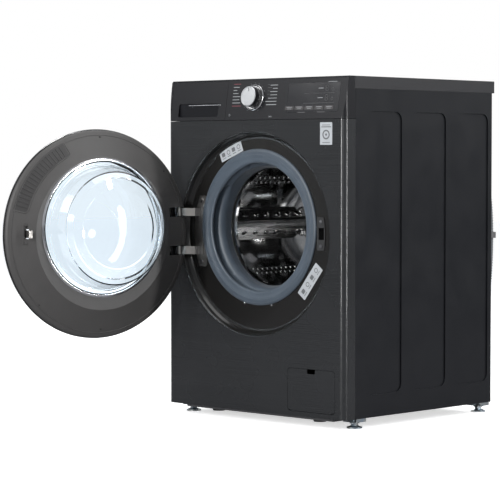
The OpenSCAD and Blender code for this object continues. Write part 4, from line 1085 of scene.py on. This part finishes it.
def control_panel_details():
    bright, dim, red, chrome, keys = Shape(), Shape(), Shape(), Shape(), Shape()
    programme_marks(bright, dim, red)
    power_and_start(bright)
    touch_keys(bright, keys)
    display_digits(bright, dim)
    chrome.plate(on_panel(-0.174, 0.7865, -0.0002), 0.114, 0.0022, 0.0012, 0.0009)
    bright.build("panel_marks", M["mark"], "cabinet", "panel_black")
    dim.build("display_marks", M["mark_dim"], "cabinet", "window_black")
    keys.build("touch_keys", M["key_grey"], "cabinet", "window_black")
    red.build("panel_marks_red", M["mark_red"], "cabinet", "panel_black")
    chrome.build("drawer_strip", M["silver_trim"], "drawer", "silver")
    dial_details()


def node_points(name):
    return [v.co for v in nodes[name].data.vertices]


# ---- labels, brackets and other small things on the cabinet ----


PAPER = 0.0003
INK = 0.0002


def labels():
    """Paper labels with generic bars, squares and rings."""
    paper, ink = Shape(), Shape()
    front = on_front(0.2415, 0.712)
    paper.plate(front, 0.039, 0.054, PAPER, 0.002)
    for dz, wide, high in ((0.0205, 0.026, 0.0016), (0.0160, 0.031, 0.0022)):
        ink.plate(front @ Matrix.Translation((0, dz, PAPER)), wide, high, INK, 0.0005)
    ink.ring(front @ Matrix.Translation((0, -0.0025, PAPER)), 0.0082, 0.0116, INK, 32)
    ink.dome(front @ Matrix.Translation((0, -0.0025, PAPER)), 0.0030, INK, 16, 2)
    ink.plate(front @ Matrix.Translation((0, -0.0215, PAPER)), 0.024, 0.0016, INK, 0.0005)
    lift = RECESS_Y - 0.0002
    in_recess = ((-0.0940, 0.6695, 22, 0.080, 0.027), (0.1730, 0.3535, 52, 0.096, 0.029))
    for x, z, degrees, wide, high in in_recess:
        spot = on_front(x, z, lift, degrees)
        paper.plate(spot, wide, high, PAPER, 0.002)
        for k in range(4):
            icon = spot @ Matrix.Translation(((k - 1.5) * wide / 4.3, 0.002, PAPER))
            if k % 2:
                ink.ring(icon, 0.0042, 0.0060, INK, 24)
            else:
                ink.plate(icon, 0.0115, 0.0105, INK, 0.002)
            ink.plate(icon @ Matrix.Translation((0, -0.0095, 0)), 0.013, 0.0018, INK, 0.0004)
    paper.build("labels", M["label"], "cabinet", "white_plastic")
    ink.build("label_marks", M["label_ink"], "cabinet", "black_plastic")


def foot_bracket():
    """The zinc corner brackets that the feet screw into, seen under the skirt."""
    shape = Shape()
    foot_x, foot_y = 0.275, 0.244
    for sx in (-1, 1):
        for y in (-foot_y, foot_y):
            spot = frame_at((sx * foot_x, y, 0.0160), (1, 0, 0), (0, 1, 0))
            shape.plate(spot, 0.044, 0.040, 0.0012, 0.004)
            for dx in (-0.0205, 0.0205):
                side = frame_at((sx * foot_x + dx, y, 0.0205), (0, 1, 0), (0, 0, 1))
                shape.plate(side, 0.036, 0.0085, 0.0010, 0.002)
    shape.build("foot_brackets", M["zinc"], "cabinet", "zinc")


def rear_details():
    vents = Shape()
    # The vents are dark plates: painted shade where the openings are.
    for k in range(9):
        spot = on_rear(-0.16 + k * 0.040, 0.790, rear_y + 0.0002)
        vents.plate(spot, 0.026, 0.0050, 0.0008, 0.0024)
    vents.build("rear_vents", M["dark_hole"], "cabinet", "dark_paint")
    cross = Shape()
    low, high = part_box("rear_cover")
    for x in (low.x + 0.010, high.x - 0.010):
        for z in (low.z + 0.024, (low.z + high.z) / 2, high.z - 0.024):
            spot = on_rear(x, z, rear_y + 0.0043)
            # Dark crosses: painted shade in the screws' cross recesses.
            cross.plate(spot, 0.0055, 0.0011, 0.0003, 0.0003)
            cross.plate(spot, 0.0011, 0.0055, 0.0003, 0.0003)
    cross.build("screw_crosses", M["dark_hole"], "cabinet", "stainless")


# ---- drain hose ----

HOSE_Y = 0.291
HOSE_LINE = [(238, 140), (240, 170), (248, 220), (257, 275), (265, 340), (269, 400), (270, 455),
             (268, 510), (262, 565), (252, 620), (236, 665), (208, 706), (168, 732), (120, 741),
             (72, 732), (32, 706), (6, 665), (-6, 615), (-8, 560), (-8, 500), (-8, 440), (-8, 390)]
HOSE_D = 0.027
HOSE_STEP = 0.0017
HOSE_PITCH = 0.0068
HOSE_GROOVE = 0.0017
PLAIN_START = 0.035
PLAIN_END = 0.012


def drain_hose():
    """The corrugated hose on its route over the back, plain where it is gripped."""
    knots = [(x * MM, HOSE_Y, z * MM) for x, z in HOSE_LINE]
    path = [Vector(p) for p in smooth_line(knots, 12)]
    length = sum((b - a).length for a, b in zip(path, path[1:]))
    spaced = [path[0]]
    carried = 0.0
    for a, b in zip(path, path[1:]):
        gap = (b - a).length
        while carried + gap >= HOSE_STEP:
            a = a + (b - a) * ((HOSE_STEP - carried) / gap)
            gap = (b - a).length
            spaced.append(a.copy())
            carried = 0.0
        carried += gap
    rings = []
    n = 20
    for i, p in enumerate(spaced):
        way = (spaced[min(i + 1, len(spaced) - 1)] - spaced[max(i - 1, 0)]).normalized()
        side = Vector((0, 1, 0))
        up = way.cross(side)
        run = i * HOSE_STEP
        plain = run < PLAIN_START or run > length - PLAIN_END
        wave = 0.0 if plain else 0.5 - 0.5 * math.cos(2 * math.pi * run / HOSE_PITCH)
        r = HOSE_D / 2 - 0.0002 - HOSE_GROOVE * wave
        rings.append([p + side * r * math.cos(t) + up * r * math.sin(t) for t in turn(n)])
    shape = Shape()
    shape.loops(rings)
    piece = shape.build("hose", M["hose_grey"], "cabinet", "hose_grey", 60)
    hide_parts("drain_hose")


def add_floor():
    """A pale floor: white where it is seen, dim where it only lights the machine."""
    data = bpy.data.meshes.new("floor")
    size = 14.0
    corners = [(-size, -size, 0), (size, -size, 0), (size, size, 0), (-size, size, 0)]
    data.from_pydata(corners, [], [(0, 1, 2, 3)])
    shade = Shade("pale_floor", (0.93, 0.93, 0.93), 0.6)
    shade.vary_colour(shade.noise(3, 2), 0.01)
    path = shade.new("ShaderNodeLightPath")
    seen = shade.new("ShaderNodeMath", operation="MAXIMUM")
    shade.join(path.outputs["Is Camera Ray"], seen.inputs[0])
    shade.join(path.outputs["Is Transmission Ray"], seen.inputs[1])
    glow = shade.new("ShaderNodeEmission")
    glow.inputs["Strength"].default_value = 0.62
    both = shade.new("ShaderNodeAddShader")
    shade.join(shade.shader.outputs[0], both.inputs[0])
    shade.join(glow.outputs[0], both.inputs[1])
    dim = shade.new("ShaderNodeBsdfDiffuse")
    dim.inputs["Color"].default_value = (0.22, 0.22, 0.23, 1)
    mix = shade.new("ShaderNodeMixShader")
    shade.join(seen.outputs[0], mix.inputs[0])
    shade.join(dim.outputs[0], mix.inputs[1])
    shade.join(both.outputs[0], mix.inputs[2])
    shade.join(mix.outputs[0], shade.tree.nodes["Material Output"].inputs["Surface"])
    data.materials.append(shade.material)
    floor = bpy.data.objects.new("floor", data)
    scene.collection.objects.link(floor)


drain_hose()
gasket()
flexible("fill_bellows")
flexible("sump_bellows")
flexible("suspension_springs")
drum_shell()
drum_details()
door_details()
control_panel_details()
labels()
foot_bracket()
rear_details()
add_floor()
